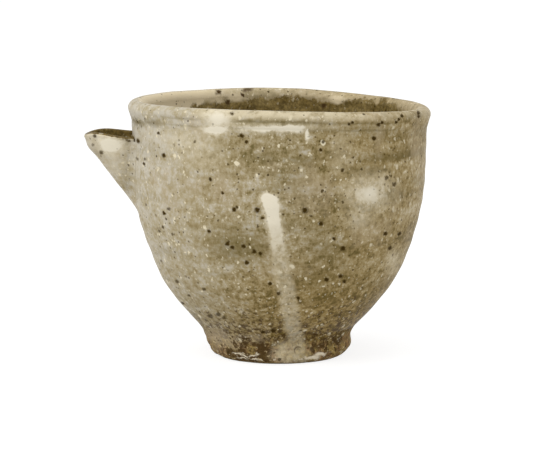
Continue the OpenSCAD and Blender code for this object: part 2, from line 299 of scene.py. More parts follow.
class GlazeColours(bpy.types.PropertyGroup):
    """Colours of the glaze and the clay."""

    ash_grey: colour("Ash grey", (0.540, 0.496, 0.402), "Thick pale glaze on the spout's side")
    ash_beige: colour("Ash beige", (0.425, 0.362, 0.236), "Glaze of middling thickness")
    ash_olive: colour("Ash olive", (0.345, 0.276, 0.148), "Glaze on most of the wall")
    ash_brown: colour("Ash brown", (0.258, 0.198, 0.090), "Thin glaze")
    # Ash dark: thin glaze in smears and streaks, painted shade in the lines under the rim, and with foot
    # brown a painted contact shadow on the foot's resting face
    ash_dark: colour("Ash dark", (0.140, 0.107, 0.034), "Thinnest glaze, in lines and smears")
    warmth: colour("Warmth", (1.02, 0.90, 0.62), "Tint of the glaze low down and away from the spout")
    ash_rose: colour("Ash rose", (0.450, 0.362, 0.236), "Warm grey smears in the glaze")
    burnt: colour("Burnt", (0.070, 0.039, 0.012), "Clay that shows through near the foot")
    white: colour("White run", (0.79, 0.725, 0.575), "Runs and clouds of white glaze")
    # Crest: paler glaze on the rim's crest with a painted highlight; the same colour edges the white
    # glaze and tints grit in the pool
    crest: colour("Crest", (0.66, 0.575, 0.40), "Pale glaze on the crest of the rim")
    # Lining: pale glaze inside the mouth, also painted light on the shaded inner wall on the spout's side
    lining_and_painted_light: colour("Lining", (0.76, 0.64, 0.425), "Pale glaze inside the mouth")
    pool: colour("Dark pool", (0.150, 0.103, 0.030), "Glaze inside the bowl and the spout")
    pool_olive: colour("Olive pool", (0.255, 0.188, 0.072), "Thicker glaze inside")
    grit: colour("Feldspar grit", (0.74, 0.66, 0.47), "Pale grains in the glaze")
    iron: colour("Iron speck", (0.046, 0.026, 0.003), "Dark specks")
    clay_brown: colour("Foot brown", (0.242, 0.146, 0.062), "Rough clay of the foot")
    clay_olive: colour("Foot olive", (0.340, 0.245, 0.085), "Thin glaze on the foot")
    crumb: colour("Crumb", (0.64, 0.51, 0.28), "Pale crumbs in the clay of the foot")
    chip_cream: colour("Chip cream", (0.80, 0.71, 0.54), "Glaze drops and chips at the foot's edge")


class StageSettings(bpy.types.PropertyGroup):
    """Camera, lamps and floor."""

    eye_x: length("Camera X", -0.00092, "Camera place across")
    eye_y: length("Camera Y", -0.734, "Camera place in front")
    eye_z: length("Camera Z", 0.147, "Camera height")
    pitch: angle("Camera pitch", 8.04, "How far the camera looks down")
    lens: share("Focal length", 143.35, "Focal length in millimetres on a 36 mm sensor")
    floor_size: length("Floor", 6.0, "Half the side of the floor")
    sky: share("Sky", 0.74, "Strength of the even light from all round")
    floor_tone: share("Floor tone", 0.35, "How strongly the floor shows its shadow")
    floor_bounce: share("Floor bounce", 0.70, "How much light the floor sends back to the pourer")
    floor_white: share("Floor white", 0.785, "How white the floor looks before it is lit")
    key_power: power("Key lamp", 4.8, "Large soft lamp at the left")
    top_power: power("Top lamp", 1.4, "Soft lamp from above")
    fill_power: power("Fill lamp", 1.2, "Weak lamp at the right")


def smooth(value, low, high):
    """0 below low, 1 above high, and a soft step between; low may be the larger one."""
    t = min(1.0, max(0.0, (value - low) / (high - low)))
    return t * t * (3 - 2 * t)


def mix(a, b, t):
    """The value a share t of the way from a to b."""
    return a + (b - a) * t


# Form of the bowl's wall


def wall_at(bowl, h):
    """Outer radius of the bowl at a height above its base."""
    if h >= bowl.belly_h:
        return bowl.wall_r
    return bowl.wall_r - bowl.belly_r + math.sqrt(bowl.belly_r ** 2 - (bowl.belly_h - max(0.0, h)) ** 2)


def base_lift(bowl):
    """Height of the middle of the bowl's base above the table."""
    return BOWL_LOW.z + wall_at(bowl, 0) * math.sin(bowl.lean)


def stand_on_foot(bowl):
    """Places the bowl's own frame on the foot, with its lean."""
    place = Matrix.Translation((-bowl.lean_h * math.sin(bowl.lean), 0, base_lift(bowl)))
    return place @ Matrix.Rotation(bowl.lean, 4, "Y")


# Sizes of the thrown wall's unevenness: wobble, fading of the rings, lumps of the rim and of the skin
WOBBLE_SIZE = 0.045
RING_FADE_SIZE = 0.012
RIM_LUMP_SIZE = 0.011
SKIN_LUMP_SIZE = 0.0035
# Height of the skin's lumps
SKIN_LUMP = 0.00004
# How far the finger rings stray, in half pitches, and the mean and swing of their strength
RING_STRAY = 1.6
RING_MEAN, RING_SWING = 0.6, 0.4
# Heights between which the mouth is drawn out towards the spout
DRAWN_FROM, DRAWN_TO = 0.054, 0.074
# Middle and spread of the fuller stretch of the belly
FULL_AT, FULL_SPREAD = 0.018, 0.007
# Middle and spread of the stretch of the belly that lies over to one side
OVER_AT, OVER_SPREAD = 0.026, 0.008


def side_of(p):
    """-1 on the spout's side, 1 on the side away from it, and 0 in front and behind."""
    return p.x / max(TINY, math.hypot(p.x, p.y))


def out_of_round(bowl, p):
    """How far the thrown wall stands out at a point: slow wobble, finger rings and drawn-out mouth."""
    slow = noise.noise(p / WOBBLE_SIZE)
    stray = RING_STRAY * noise.noise(Vector((p.x, p.y, 0.5 * p.z)) / WOBBLE_SIZE + Vector((7, 0, 0)))
    ring = math.sin(2 * math.pi * p.z / bowl.ring_pitch + stray * math.pi)
    strength = RING_MEAN + RING_SWING * noise.noise(Vector((0, 3, p.z / RING_FADE_SIZE)))
    to_spout = max(0.0, -side_of(p))
    drawn = bowl.draw_out * to_spout ** 2 * smooth(p.z, DRAWN_FROM, DRAWN_TO)
    return bowl.wobble * slow + bowl.ring_depth * ring * strength + drawn


def push_out(p, amount):
    """The point moved straight away from the bowl's axis."""
    r = math.hypot(p.x, p.y)
    if r == 0:
        return p.copy()
    return Vector((p.x * (r + amount) / r, p.y * (r + amount) / r, p.z))


def run_middle(run, z):
    """X of the run's middle line at a height."""
    return mix(run.top_x, run.low_x, (run.top_z - z) / (run.top_z - run.low_z))


# Shares of the run's half width between which its edge rises, and its strength at the lower end
RUN_EDGE = (1.15, 0.55)
RUN_END = 0.35


def run_cover(run, x, z):
    """1 in the middle of the white run and 0 at its edge."""
    half = mix(run.tail_w, run.head_w, smooth(z, run.top_z - 2 * run.head_w, run.top_z))
    across = (x - run_middle(run, z)) / half
    above = max(0.0, z - run.top_z) / run.head_h
    fade = smooth(z, run.low_z, mix(run.low_z, run.top_z, 0.5))
    return smooth(math.hypot(across, above), *RUN_EDGE) * mix(RUN_END, 1.0, fade)


def patch_cover(patch, x, z):
    """1 in the middle of a white patch and 0 at its edge."""
    reach = math.hypot((x - patch.x) / patch.half_w, (z - patch.z) / patch.half_h)
    return smooth(reach, 1 + patch.edge, 1 - patch.edge)


# Lathe and mesh helpers


def draw_arc(bm, start, centre, turn, steps):
    """Carries an outline on by an arc, turning from X towards Z, and gives its last vertex."""
    made = bmesh.ops.spin(bm, geom=[start], cent=centre, axis=(0, -1, 0), angle=turn, steps=steps)
    return next(item for item in made["geom_last"] if isinstance(item, bmesh.types.BMVert))


def draw_line(bm, start, end, steps):
    """Carries an outline on by a straight line in equal steps and gives its last vertex."""
    stride = (end - start.co) / steps
    tip = start
    for _ in range(steps):
        tip = bmesh.ops.extrude_vert_indiv(bm, verts=[tip])["verts"][0]
        tip.co += stride
    return tip


def turn_on_wheel(bm, steps):
    """Turns the outline in the XZ plane once round Z and closes the form."""
    bmesh.ops.spin(
        bm, geom=bm.verts[:] + bm.edges[:], cent=(0, 0, 0), axis=(0, 0, 1),
        angle=2 * math.pi, steps=steps, use_merge=True)
    bmesh.ops.remove_doubles(bm, verts=bm.verts[:], dist=TINY)
    bmesh.ops.recalc_face_normals(bm, faces=bm.faces[:])


def open_edges(bm):
    """Edges with a face on one side only."""
    return [edge for edge in bm.edges if edge.is_boundary]


def close_up(bm):
    """Joins the sheet's first and last rows, fills its ends and turns its faces outwards."""
    bmesh.ops.remove_doubles(bm, verts=bm.verts[:], dist=TINY)
    bmesh.ops.holes_fill(bm, edges=open_edges(bm), sides=0)
    bmesh.ops.recalc_face_normals(bm, faces=bm.faces[:])


def finish_piece(name, bm, material, node):
    """Makes the mesh an object that stands for a CAD node."""
    mesh = bpy.data.meshes.new(name)
    bm.to_mesh(mesh)
    bm.free()
    mesh.shade_smooth()
    mesh.materials.append(material)
    piece = bpy.data.objects.new(name, mesh)
    bpy.context.scene.collection.objects.link(piece)
    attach(piece, BODY)
    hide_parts(node)
    return piece


# Bowl


def circles_meet(centre_a, r_a, centre_b, r_b):
    """The lower of the two points where two circles in the XZ plane cross."""
    apart = centre_b - centre_a
    along = (r_a ** 2 - r_b ** 2 + apart.length_squared) / (2 * apart.length)
    aside = math.sqrt(r_a ** 2 - along ** 2)
    unit = apart.normalized()
    sideways = Vector((-unit.z, 0, unit.x))
    return min((centre_a + unit * along + sideways * step for step in (-aside, aside)), key=lambda p: p.z)


def turn_between(centre, start, end):
    """Angle from start to end about a centre, from X towards Z."""
    first = math.atan2(start.z - centre.z, start.x - centre.x)
    last = math.atan2(end.z - centre.z, end.x - centre.x)
    return last - first


def draw_bowl_outline(bm, bowl):
    """Half outline of the bowl: dished floor, inner wall, rolled rim, outer wall, belly and base."""
    dish = Vector((0, 0, bowl.floor_t + bowl.dish_r))
    belly = Vector((bowl.wall_r - bowl.belly_r, 0, bowl.belly_h))
    bead = Vector((bowl.wall_r + bowl.bead_out - bowl.bead_r, 0, bowl.height - bowl.bead_r))
    floor_edge = circles_meet(dish, bowl.dish_r, belly, bowl.belly_r - bowl.wall_t)
    inner_wall_r = bowl.wall_r - bowl.wall_t
    bead_fall = math.sqrt(bowl.bead_r ** 2 - (bead.x - inner_wall_r) ** 2)
    bead_in = Vector((inner_wall_r, 0, bead.z - bead_fall))
    flank_foot = Vector((bowl.wall_r, 0, bowl.height - bowl.neck_drop))
    flank_fall = flank_foot - bead
    flank_turn = math.atan2(flank_fall.z, flank_fall.x) + math.acos(bowl.bead_r / flank_fall.length)
    flank_top = bead + bowl.bead_r * Vector((math.cos(flank_turn), 0, math.sin(flank_turn)))
    base_edge = Vector((wall_at(bowl, 0), 0, 0))

    tip = bm.verts.new((0, 0, bowl.floor_t))
    tip = draw_arc(bm, tip, dish, turn_between(dish, tip.co, floor_edge), DISH_STEPS)
    inner_turn = turn_between(belly, floor_edge, belly + Vector((1, 0, 0)))
    tip = draw_arc(bm, tip, belly, inner_turn, INNER_BELLY_STEPS)
    tip = draw_line(bm, tip, bead_in, INNER_WALL_STEPS)
    tip = draw_arc(bm, tip, bead, turn_between(bead, bead_in, flank_top) - 2 * math.pi, BEAD_STEPS)
    tip = draw_line(bm, tip, flank_foot, FLANK_STEPS)
    tip = draw_line(bm, tip, Vector((bowl.wall_r, 0, bowl.belly_h)), OUTER_WALL_STEPS)
    tip = draw_arc(bm, tip, belly, turn_between(belly, tip.co, base_edge), OUTER_BELLY_STEPS)
    draw_line(bm, tip, Vector((0, 0, 0)), BASE_STEPS)


def pierce_wall(bm, bowl):
    """Cuts the pour hole through the wall on the spout's side and rounds its edges."""
    hole_r = bowl.hole_d / 2

    def from_hole(p):
        return math.hypot(p.y, p.z - bowl.hole_h) if p.x < 0 else math.inf

    cut = [face for face in bm.faces if from_hole(face.calc_center_median()) < hole_r]
    bmesh.ops.delete(bm, geom=cut, context="FACES")
    rims = open_edges(bm)
    for vert in {vert for edge in rims for vert in edge.verts}:
        wall = math.hypot(vert.co.x, vert.co.y)
        grow = hole_r / from_hole(vert.co)
        vert.co.y *= grow
        vert.co.z = bowl.hole_h + (vert.co.z - bowl.hole_h) * grow
        vert.co.x = -math.sqrt(wall ** 2 - vert.co.y ** 2)
    bmesh.ops.bridge_loops(bm, edges=rims)
    bmesh.ops.bevel(
        bm, geom=rims, offset=bowl.hole_edge, offset_type="OFFSET", affect="EDGES",
        segments=HOLE_EDGE_STEPS, profile=0.5, material=-1)


# How far below the crest the two lines under the rim lie, and how wide they are
RIM_LINES = (0.0035, 0.0058)
RIM_LINE_SPREAD = 0.0004
# How far out to the sides the two lines fade
LINES_FADE = (0.047, 0.030)
# Size of the stretches in which they come and go, and the mean and swing of their strength
LINE_STRETCH = 0.02
LINE_MEAN, LINE_SWING = 0.85, 0.6
# How much deeper the dip of the rim is on the side away from the spout
DIP_BIAS = 0.35


def rim_lines(bowl, p):
    """Depth of the two lines drawn under the rim, which come and go round it and which the drip fills."""
    depth = LINE_MEAN + LINE_SWING * noise.noise(Vector((p.x, p.y, 0)) / LINE_STRETCH)
    depth *= smooth(abs(p.x), *LINES_FADE)
    if p.y < 0:
        at = stand_on_foot(bowl) @ p
        depth *= 1 - max(patch_cover(drip, at.x, at.z) for drip in RIM_DRIPS)
    cuts = (math.exp(-((bowl.height - drop - p.z) / RIM_LINE_SPREAD) ** 2) for drop in RIM_LINES)
    return bowl.line_depth * max(0.0, depth) * sum(cuts)


def rim_rise(bowl, p):
    """How far the rim rises at a point: small lumps, the saddle and the dip behind."""
    side = math.atan2(p.y, p.x)
    lumps = 0.5 * bowl.wobble * noise.noise(Vector((p.x, p.y, 0)) / RIM_LUMP_SIZE)
    dip = max(0.0, math.sin(side)) * math.sin(2 * side) ** 2 * (1 + DIP_BIAS * math.cos(side))
    return lumps - bowl.saddle * math.cos(2 * side) - bowl.far_dip * dip


# Softness of the glaze line beside the trough, and above and below it as shares of its height
TROUGH_EDGE = 0.001
TROUGH_END = 0.05


def behind_spout(scene, p):
    """1 in the pour hole and on the wall between the sides of the spout's trough, and 0 elsewhere."""
    bowl, spout = scene.pourer_bowl, scene.pourer_spout
    if p.x > 0:
        return 0.0
    up = (p.z - spout.trough_low_h) / (spout.lip_h - spout.trough_low_h)
    half_w = mix(spout.trough_low_width, spout.width - 2 * spout.thickness, up) / 2
    trough = smooth(abs(p.y) - half_w, TROUGH_EDGE, 0.0)
    trough *= smooth(up, -TROUGH_END, 0.0) * smooth(up, 1 + TROUGH_END, 1.0)
    from_hole = math.hypot(p.y, p.z - bowl.hole_h) - bowl.hole_d / 2
    return max(trough, smooth(from_hole, 2 * bowl.hole_edge, bowl.hole_edge))


# How far from the middle of the wall its inside starts and is full
INSIDE_FROM, INSIDE_TO = 0.0006, -0.0008
# Radii of the bead, down from its top, between which the crest gets pale: paler glaze there, with a
# painted highlight over it
CREST_FROM, CREST_TO = 1.3, 0.4
# Height over which the unevenness sets in above the base
EVEN_BASE = 0.004


def shape_wall(bm, scene):
    """Gives the thrown wall its wobble, rings and rim lines, and marks its inside and its crest."""
    bowl = scene.pourer_bowl
    inside = bm.verts.layers.float.new("inside")
    crest = bm.verts.layers.float.new("crest")
    line = bm.verts.layers.float.new("line")
    for vert in bm.verts:
        p = vert.co.copy()
        middle = wall_at(bowl, p.z) - bowl.wall_t / 2
        inward = smooth(math.hypot(p.x, p.y), middle + INSIDE_FROM, middle + INSIDE_TO)
        vert[inside] = max(inward, behind_spout(scene, p)) if p.z > bowl.floor_t / 2 else 0.0
        crest_from = bowl.height - CREST_FROM * bowl.bead_r
        vert[crest] = smooth(p.z, crest_from, bowl.height - CREST_TO * bowl.bead_r)
        lines = rim_lines(bowl, p)
        # Depth of the rim lines, which the glaze darkens as painted shade in the grooves
        vert[line] = lines / bowl.line_depth * (1 - vert[inside])
        swell = bowl.fullness * math.exp(-((p.z - FULL_AT) / FULL_SPREAD) ** 2)
        skin = SKIN_LUMP * noise.noise(p / SKIN_LUMP_SIZE)
        outward = 1 - vert[inside]
        amount = out_of_round(bowl, p) + outward * (swell + skin - lines)
        vert.co = push_out(p, amount * smooth(p.z, 0, EVEN_BASE))
        high = smooth(p.z, bowl.belly_h, bowl.height)
        vert.co.z += high * rim_rise(bowl, p)
        vert.co.x += bowl.set_over * math.exp(-((p.z - OVER_AT) / OVER_SPREAD) ** 2)


def lay_white_glaze(bm, run):
    """Raises the white run and patches on the front of the wall."""
    bm.normal_update()
    layer = bm.verts.layers.float["inside"]
    for vert in bm.verts:
        p = vert.co
        if p.y > 0 or vert[layer] > 0.5:
            continue
        rise = run.thickness * run_cover(run, p.x, p.z)
        rise += max(patch.thickness * patch_cover(patch, p.x, p.z) for patch in WHITE_PATCHES)
        vert.co = p + vert.normal * rise


def build_bowl(scene):
    """Throws the bowl, pierces it and stands it on its foot."""
    bowl = scene.pourer_bowl
    bm = bmesh.new()
    draw_bowl_outline(bm, bowl)
    turn_on_wheel(bm, TURN_STEPS)
    pierce_wall(bm, bowl)
    shape_wall(bm, scene)
    bmesh.ops.transform(bm, matrix=stand_on_foot(bowl), verts=bm.verts[:])
    lay_white_glaze(bm, scene.pourer_run)
    return finish_piece("glazed_bowl", bm, ash_glaze(scene), "bowl")


# Spout and its luting

Face = namedtuple("Face", "low_h low_w low_out lip_w reach")
# Shares of the spout's height where its tip starts to round back, and where the drop hangs under it
TIP_FROM = 0.88
DROP_AT, DROP_SPREAD = 0.83, 0.08
# Shares of the way over the lip between which the trough's glaze sets in
LIP_GLAZE = (0.05, 0.40)
# How far off the wall a point no longer follows its wobble, and from where it follows in full
SETTLE = (0.014, 0.001)
DENT_SIZE = 0.009


def spout_faces(spout):
    """The spout's outer face and its trough: lower end, and width and reach at both ends."""
    outer = Face(spout.low_h, spout.low_width, spout.low_out, spout.width, spout.reach)
    trough = Face(
        spout.trough_low_h, spout.trough_low_width, spout.slip_t,
        spout.width - 2 * spout.thickness, spout.reach - spout.thickness)
    return outer, trough


def face_point(scene, face, s, turn):
    """Point on a face of the spout: s from its lower end to the lip, turn round it, 0 at the keel.
    Level sections are half-ellipses whose ends lie one slip thickness off the wall."""
    bowl, spout = scene.pourer_bowl, scene.pourer_spout
    lip = spout.lip_h - spout.thickness / 2 + spout.lip_swell * math.sin(2 * turn) ** 2
    h = mix(face.low_h, lip, s)
    half_w = mix(face.low_w, face.lip_w, s) / 2
    seat = wall_at(bowl, h) + spout.slip_t
    back = math.sqrt(seat ** 2 - half_w ** 2)
    low_keel = wall_at(bowl, face.low_h) + spout.slip_t + face.low_out
    keel = mix(low_keel, bowl.wall_r + spout.slip_t + face.reach, s)
    swell = spout.keel_swell * math.sin(math.pi * s) - spout.tip_round * smooth(s, TIP_FROM, 1.0)
    swell += spout.tip_drop * math.exp(-((s - DROP_AT) / DROP_SPREAD) ** 2) * math.cos(turn) ** 4
    return Vector((-mix(back, keel + swell, math.cos(turn)), half_w * math.sin(turn), h))


def lip_point(scene, turn, roll):
    """Point on the half-round lip between the spout's two faces."""
    outer, trough = spout_faces(scene.pourer_spout)
    out = face_point(scene, outer, 1, turn)
    inner = face_point(scene, trough, 1, turn)
    rise = Vector((0, 0, scene.pourer_spout.thickness / 2 * math.sin(roll)))
    return (out + inner) / 2 + (out - inner) / 2 * math.cos(roll) + rise


def spout_point(scene, row, turn):
    """Point of the spout's upright section at one angle, with how far it lies inside the trough."""
    outer, trough = spout_faces(scene.pourer_spout)
    if row <= SPOUT_FACE_STEPS:
        return face_point(scene, outer, row / SPOUT_FACE_STEPS, turn), 0.0
    over = (row - SPOUT_FACE_STEPS) / SPOUT_LIP_STEPS
    if over < 1:
        return lip_point(scene, turn, math.pi * over), smooth(over, *LIP_GLAZE)
    down = row - SPOUT_FACE_STEPS - SPOUT_LIP_STEPS
    return face_point(scene, trough, 1 - down / SPOUT_FACE_STEPS, turn), 1.0


def off_wall(bowl, p):
    """How far a point stands off the wall."""
    return math.hypot(p.x, p.y) - wall_at(bowl, p.z)


def settle_on_wall(bowl, p):
    """Moves a point with the wobble of the wall that it lies against."""
    near = smooth(off_wall(bowl, p), *SETTLE)
    return push_out(p, out_of_round(bowl, p) * near)


def grid_step(vert, columns, rows):
    """Column and row of a vertex of a fresh grid."""
    return round((vert.co.x + 1) / 2 * columns), round((vert.co.y + 1) / 2 * rows)


def build_spout(scene):
    """Bends a sheet into the half-cone of the spout, with a rolled lip."""
    bowl, spout = scene.pourer_bowl, scene.pourer_spout
    rows = 2 * SPOUT_FACE_STEPS + SPOUT_LIP_STEPS + 1
    bm = bmesh.new()
    bmesh.ops.create_grid(bm, x_segments=SPOUT_TURN_STEPS, y_segments=rows, size=1)
    inside = bm.verts.layers.float.new("inside")
    for vert in bm.verts:
        column, row = grid_step(vert, SPOUT_TURN_STEPS, rows)
        turn = math.pi * (column / SPOUT_TURN_STEPS - 0.5)
        p, vert[inside] = spout_point(scene, row % rows, turn)
        dent = spout.dents * noise.noise(p / DENT_SIZE) * math.cos(turn)
        vert.co = settle_on_wall(bowl, p + Vector((-dent, 0, dent)))
    close_up(bm)
    bmesh.ops.transform(bm, matrix=stand_on_foot(bowl), verts=bm.verts[:])
    return finish_piece("glazed_spout", bm, ash_glaze(scene), "spout")


def pressed_on_wall(bowl, p, along, up):
    """Point on the wall across from a point near it, moved along the wall and up it."""
    h = p.z + up
    r = wall_at(bowl, h)
    side = math.atan2(p.y, -p.x) + along / r
    return Vector((-r * math.cos(side), r * math.sin(side), h))


def hollow(a, corner, b, t):
    """Point on a hollow curve from a to b, drawn towards a corner."""
    return a * (1 - t) ** 2 + corner * 2 * t * (1 - t) + b * t ** 2


# Largest angle round the spout that the fillet covers
MOST_TURN = math.radians(60)
# How deep the fillet's back lies in the wall, and its share of the way into the spout's clay
FILLET_SINK = 0.0003
SUNK_SHARE = 0.35
# Share of the way down the skirt by which its slope is found
PROBE_SHARE = 0.01


def fillet_at(spout, s):
    """Width of the fillet, which thins out towards the lip."""
    return spout.fillet_w * (1 - spout.fillet_fade * s ** 3)


def skirt_point(scene, s, turn, u):
    """Point on the spout under the fillet: u runs from the fillet's upper end to the seam."""
    spout = scene.pourer_spout
    outer = spout_faces(spout)[0]
    rise = spout.fillet_w / math.hypot(spout.reach - spout.low_out, spout.lip_h - spout.low_h)
    high = mix(rise, 1, s)
    width = fillet_at(spout, high)
    deep = face_point(scene, outer, high, math.pi / 2).x - face_point(scene, outer, high, 0).x
    taken = math.asin(width / math.hypot(width / math.sin(MOST_TURN), deep))
    inward = turn * (1 - taken / (math.pi / 2))
    return face_point(scene, outer, mix(high, s, u), mix(inward, turn, u))


def luting_point(scene, s, turn, row):
    """Point of the luting's section at one station of the seam: over the fillet, back under the spout."""
    bowl, spout = scene.pourer_bowl, scene.pourer_spout
    outer, trough = spout_faces(spout)
    top = skirt_point(scene, s, turn, 0)
    following = skirt_point(scene, s, turn, PROBE_SHARE)
    fall = off_wall(bowl, top) - off_wall(bowl, following)
    foot = top + (following - top) * off_wall(bowl, top) / fall
    side_slope = math.atan((spout.width - spout.low_width) / 2 / (spout.lip_h - spout.low_h))
    heading = turn * (1 - side_slope / (math.pi / 2))
    along, up = fillet_at(spout, s) * math.sin(heading), -fillet_at(spout, s) * math.cos(heading)
    corner = pressed_on_wall(bowl, foot, spout.fillet_lift * along, spout.fillet_lift * up)
    on_wall = pressed_on_wall(bowl, corner, spout.fillet_lap * along, spout.fillet_lap * up)
    if row <= FILLET_STEPS:
        return hollow(on_wall, corner, top, row / FILLET_STEPS)
    sunk = (face_point(scene, outer, s, turn) + face_point(scene, trough, s, turn)) / 2
    if row == FILLET_STEPS + 1:
        return mix(top, sunk, SUNK_SHARE)
    return push_out(mix(on_wall, sunk, SUNK_SHARE), -FILLET_SINK)


def seam_station(column):
    """Share of the height and angle at one station of the seam: down one side, under, up the other."""
    if column <= SEAM_STEPS:
        return 1 - column / SEAM_STEPS, -math.pi / 2
    if column <= 2 * SEAM_STEPS:
        return 0.0, math.pi * ((column - SEAM_STEPS) / SEAM_STEPS - 0.5)
    return column / SEAM_STEPS - 2, math.pi / 2


def build_spout_luting(scene):
    """Presses the fillet of clay into the corner between spout and wall."""
    bowl = scene.pourer_bowl
    columns, rows = 3 * SEAM_STEPS, FILLET_STEPS + 3
    bm = bmesh.new()
    bmesh.ops.create_grid(bm, x_segments=columns, y_segments=rows, size=1)
    bm.verts.layers.float.new("inside")
    for vert in bm.verts:
        column, row = grid_step(vert, columns, rows)
        s, turn = seam_station(column)
        vert.co = settle_on_wall(bowl, luting_point(scene, s, turn, row % rows))
    close_up(bm)
    bmesh.ops.transform(bm, matrix=stand_on_foot(bowl), verts=bm.verts[:])
    return finish_piece("spout_fillet", bm, ash_glaze(scene), "spout_luting")


# Foot

# Height and spread of the ring's flare
FLARE_AT, FLARE_SPREAD = 0.0040, 0.0018
# Heights between which the lower edge is worn
WORN_FROM, WORN_TO = 0.0050, 0.0015
# Heights between which it is cut back on the other side
TRIM_FROM, TRIM_TO = 0.0034, 0.0004
# Size of the chips, how sharp they are, and the heights between which they lie
CHIP_SIZE = 0.0045
CHIP_EDGE = (0.22, 0.45)
CHIP_HEIGHTS = (0.0034, 0.0008)
# Middle, radius and spread of the burst bubble in the glaze on the foot
CRATER_X, CRATER_Z, CRATER_R, CRATER_SPREAD = 0.0067, 0.0049, 0.0012, 0.0005
CRATER = (mark(6.6, 5.0, 1.3, 1.3, 0.2, 0.8), mark(6.8, 4.7, 1.1, 1.1, 0.3, 1.0))
# Sizes of the lumps and the grain of the trimmed clay
FOOT_LUMP_SIZE = 0.0075
FOOT_GRAIN_SIZE = 0.0020
# Strength of the grain beside the lumps
FOOT_GRAIN = 0.5


def build_foot_ring(scene):
    """Turns the foot ring, with a rough trimmed side and chips along its lower edge."""
    foot = scene.pourer_foot
    bm = bmesh.new()
    start = bm.verts.new((foot.in_low_r, 0, 0))
    edge_centre = Vector((foot.low_r - foot.edge_r, 0, foot.edge_r))
    tip = draw_line(bm, start, Vector((edge_centre.x, 0, 0)), FOOT_SOLE_STEPS)
    tip = draw_arc(bm, tip, edge_centre, math.pi / 2, FOOT_EDGE_STEPS)
    tip = draw_line(bm, tip, Vector((foot.top_r, 0, FOOT_HIGH.z)), FOOT_SIDE_STEPS)
    tip = draw_line(bm, tip, Vector((foot.in_top_r, 0, FOOT_HIGH.z)), FOOT_TOP_STEPS)
    draw_line(bm, tip, start.co, FOOT_INNER_STEPS)
    turn_on_wheel(bm, FOOT_TURN_STEPS)
    for vert in bm.verts:
        p = vert.co.copy()
        outer = smooth(math.hypot(p.x, p.y), edge_centre.x - foot.edge_r, edge_centre.x + foot.edge_r)
        vert.co = push_out(p, (foot_relief(foot, p) - foot_chips(foot, p)) * outer)
        vert.co.x += foot.set_over * (1 - p.z / FOOT_HIGH.z)
    return finish_piece("clay_foot_ring", bm, foot_clay(scene), "foot_ring")


def foot_relief(foot, p):
    """Lumps of the trimmed clay, the flare on the side away from the spout and the worn lower edge."""
    away = side_of(p)
    flare = foot.flare * max(0.0, away) ** 4 * math.exp(-((p.z - FLARE_AT) / FLARE_SPREAD) ** 2)
    worn = foot.wear * max(0.0, -away) ** 2 * smooth(p.z, WORN_FROM, WORN_TO)
    worn += foot.trim * max(0.0, away) ** 3 * smooth(p.z, TRIM_FROM, TRIM_TO)
    lumps = noise.noise(p / FOOT_LUMP_SIZE) + FOOT_GRAIN * noise.noise(p / FOOT_GRAIN_SIZE)
    relief = foot.lumps * lumps + flare - worn
    if p.y > 0:
        return relief
    off = math.hypot(p.x - CRATER_X, p.z - CRATER_Z) - CRATER_R
    return relief + foot.crater * (math.exp(-(off / CRATER_SPREAD) ** 2) - smooth(off, 0, -CRATER_R))


def foot_chips(foot, p):
    """Depth of the chips along the lower edge."""
    chipped = smooth(noise.noise(p / CHIP_SIZE + Vector((4, 0, 0))), *CHIP_EDGE)
    return foot.chip_depth * chipped * smooth(p.z, *CHIP_HEIGHTS)


def belly_over_foot(bowl, p):
    """Radius of the leaning belly about the foot's axis, towards a point and at its height."""
    r = math.hypot(p.x, p.y)
    lift = base_lift(bowl)
    h = (p.z - lift) + p.x * math.sin(bowl.lean)
    middle = (p.z - lift - bowl.lean_h) * math.sin(bowl.lean)
    return wall_at(bowl, h) + middle * p.x / r


# How far the collar's two ends lie under the surfaces that they run out on
COLLAR_SINK = 0.00006
# How far out of the ring the collar's hollow is drawn, and at which share of its height
COLLAR_OUT, COLLAR_BEND = 0.0005, 0.45


def build_foot_luting(scene):
    """Turns the collar of clay that blends the foot into the belly."""
    bowl, foot = scene.pourer_bowl, scene.pourer_foot
    base = FOOT_HIGH.z
    top = base + foot.collar_h
    lift = base_lift(bowl)
    low = Vector((foot.top_r - COLLAR_SINK, 0, base - foot.collar_lap))
    high = Vector((wall_at(bowl, top - lift), 0, top))
    corner = Vector((foot.top_r + COLLAR_OUT, 0, base + COLLAR_BEND * foot.collar_h))
    bm = bmesh.new()
    tip = bm.verts.new(low)
    for step in range(1, COLLAR_CURVE_STEPS + 1):
        tip = draw_line(bm, tip, hollow(low, corner, high, step / COLLAR_CURVE_STEPS), 1)
    tip = draw_line(bm, tip, high - Vector((foot.collar_h / 2, 0, 0)), 2)
    tip = draw_line(bm, tip, Vector((foot.in_top_r, 0, base + foot.collar_lap / 2)), 3)
    tip = draw_line(bm, tip, Vector((foot.in_top_r, 0, low.z)), 2)
    draw_line(bm, tip, low, 3)
    turn_on_wheel(bm, FOOT_TURN_STEPS)
    for vert in bm.verts:
        p = vert.co.copy()
        up = smooth(p.z, low.z, top)
        seat = belly_over_foot(bowl, p) - wall_at(bowl, p.z - lift) - COLLAR_SINK
        vert.co = push_out(p, foot_relief(foot, p) * (1 - up) + seat * up)
        vert.co.x += foot.set_over * max(0.0, 1 - p.z / base)
    return finish_piece("foot_collar", bm, foot_clay(scene), "foot_luting")


# Nodes


def fill(tree, node, values):
    """Fills a node's sockets with values or links."""
    for key, value in values.items():
        if isinstance(value, bpy.types.NodeSocket):
            tree.links.new(value, node.inputs[key])
        else:
            node.inputs[key].default_value = value


def put(tree, kind, values=None, **settings):
    """Places a node, sets it, and fills its sockets with values or links."""
    node = tree.nodes.new(kind)
    for key, value in settings.items():
        setattr(node, key, value)
    fill(tree, node, values or {})
    return node


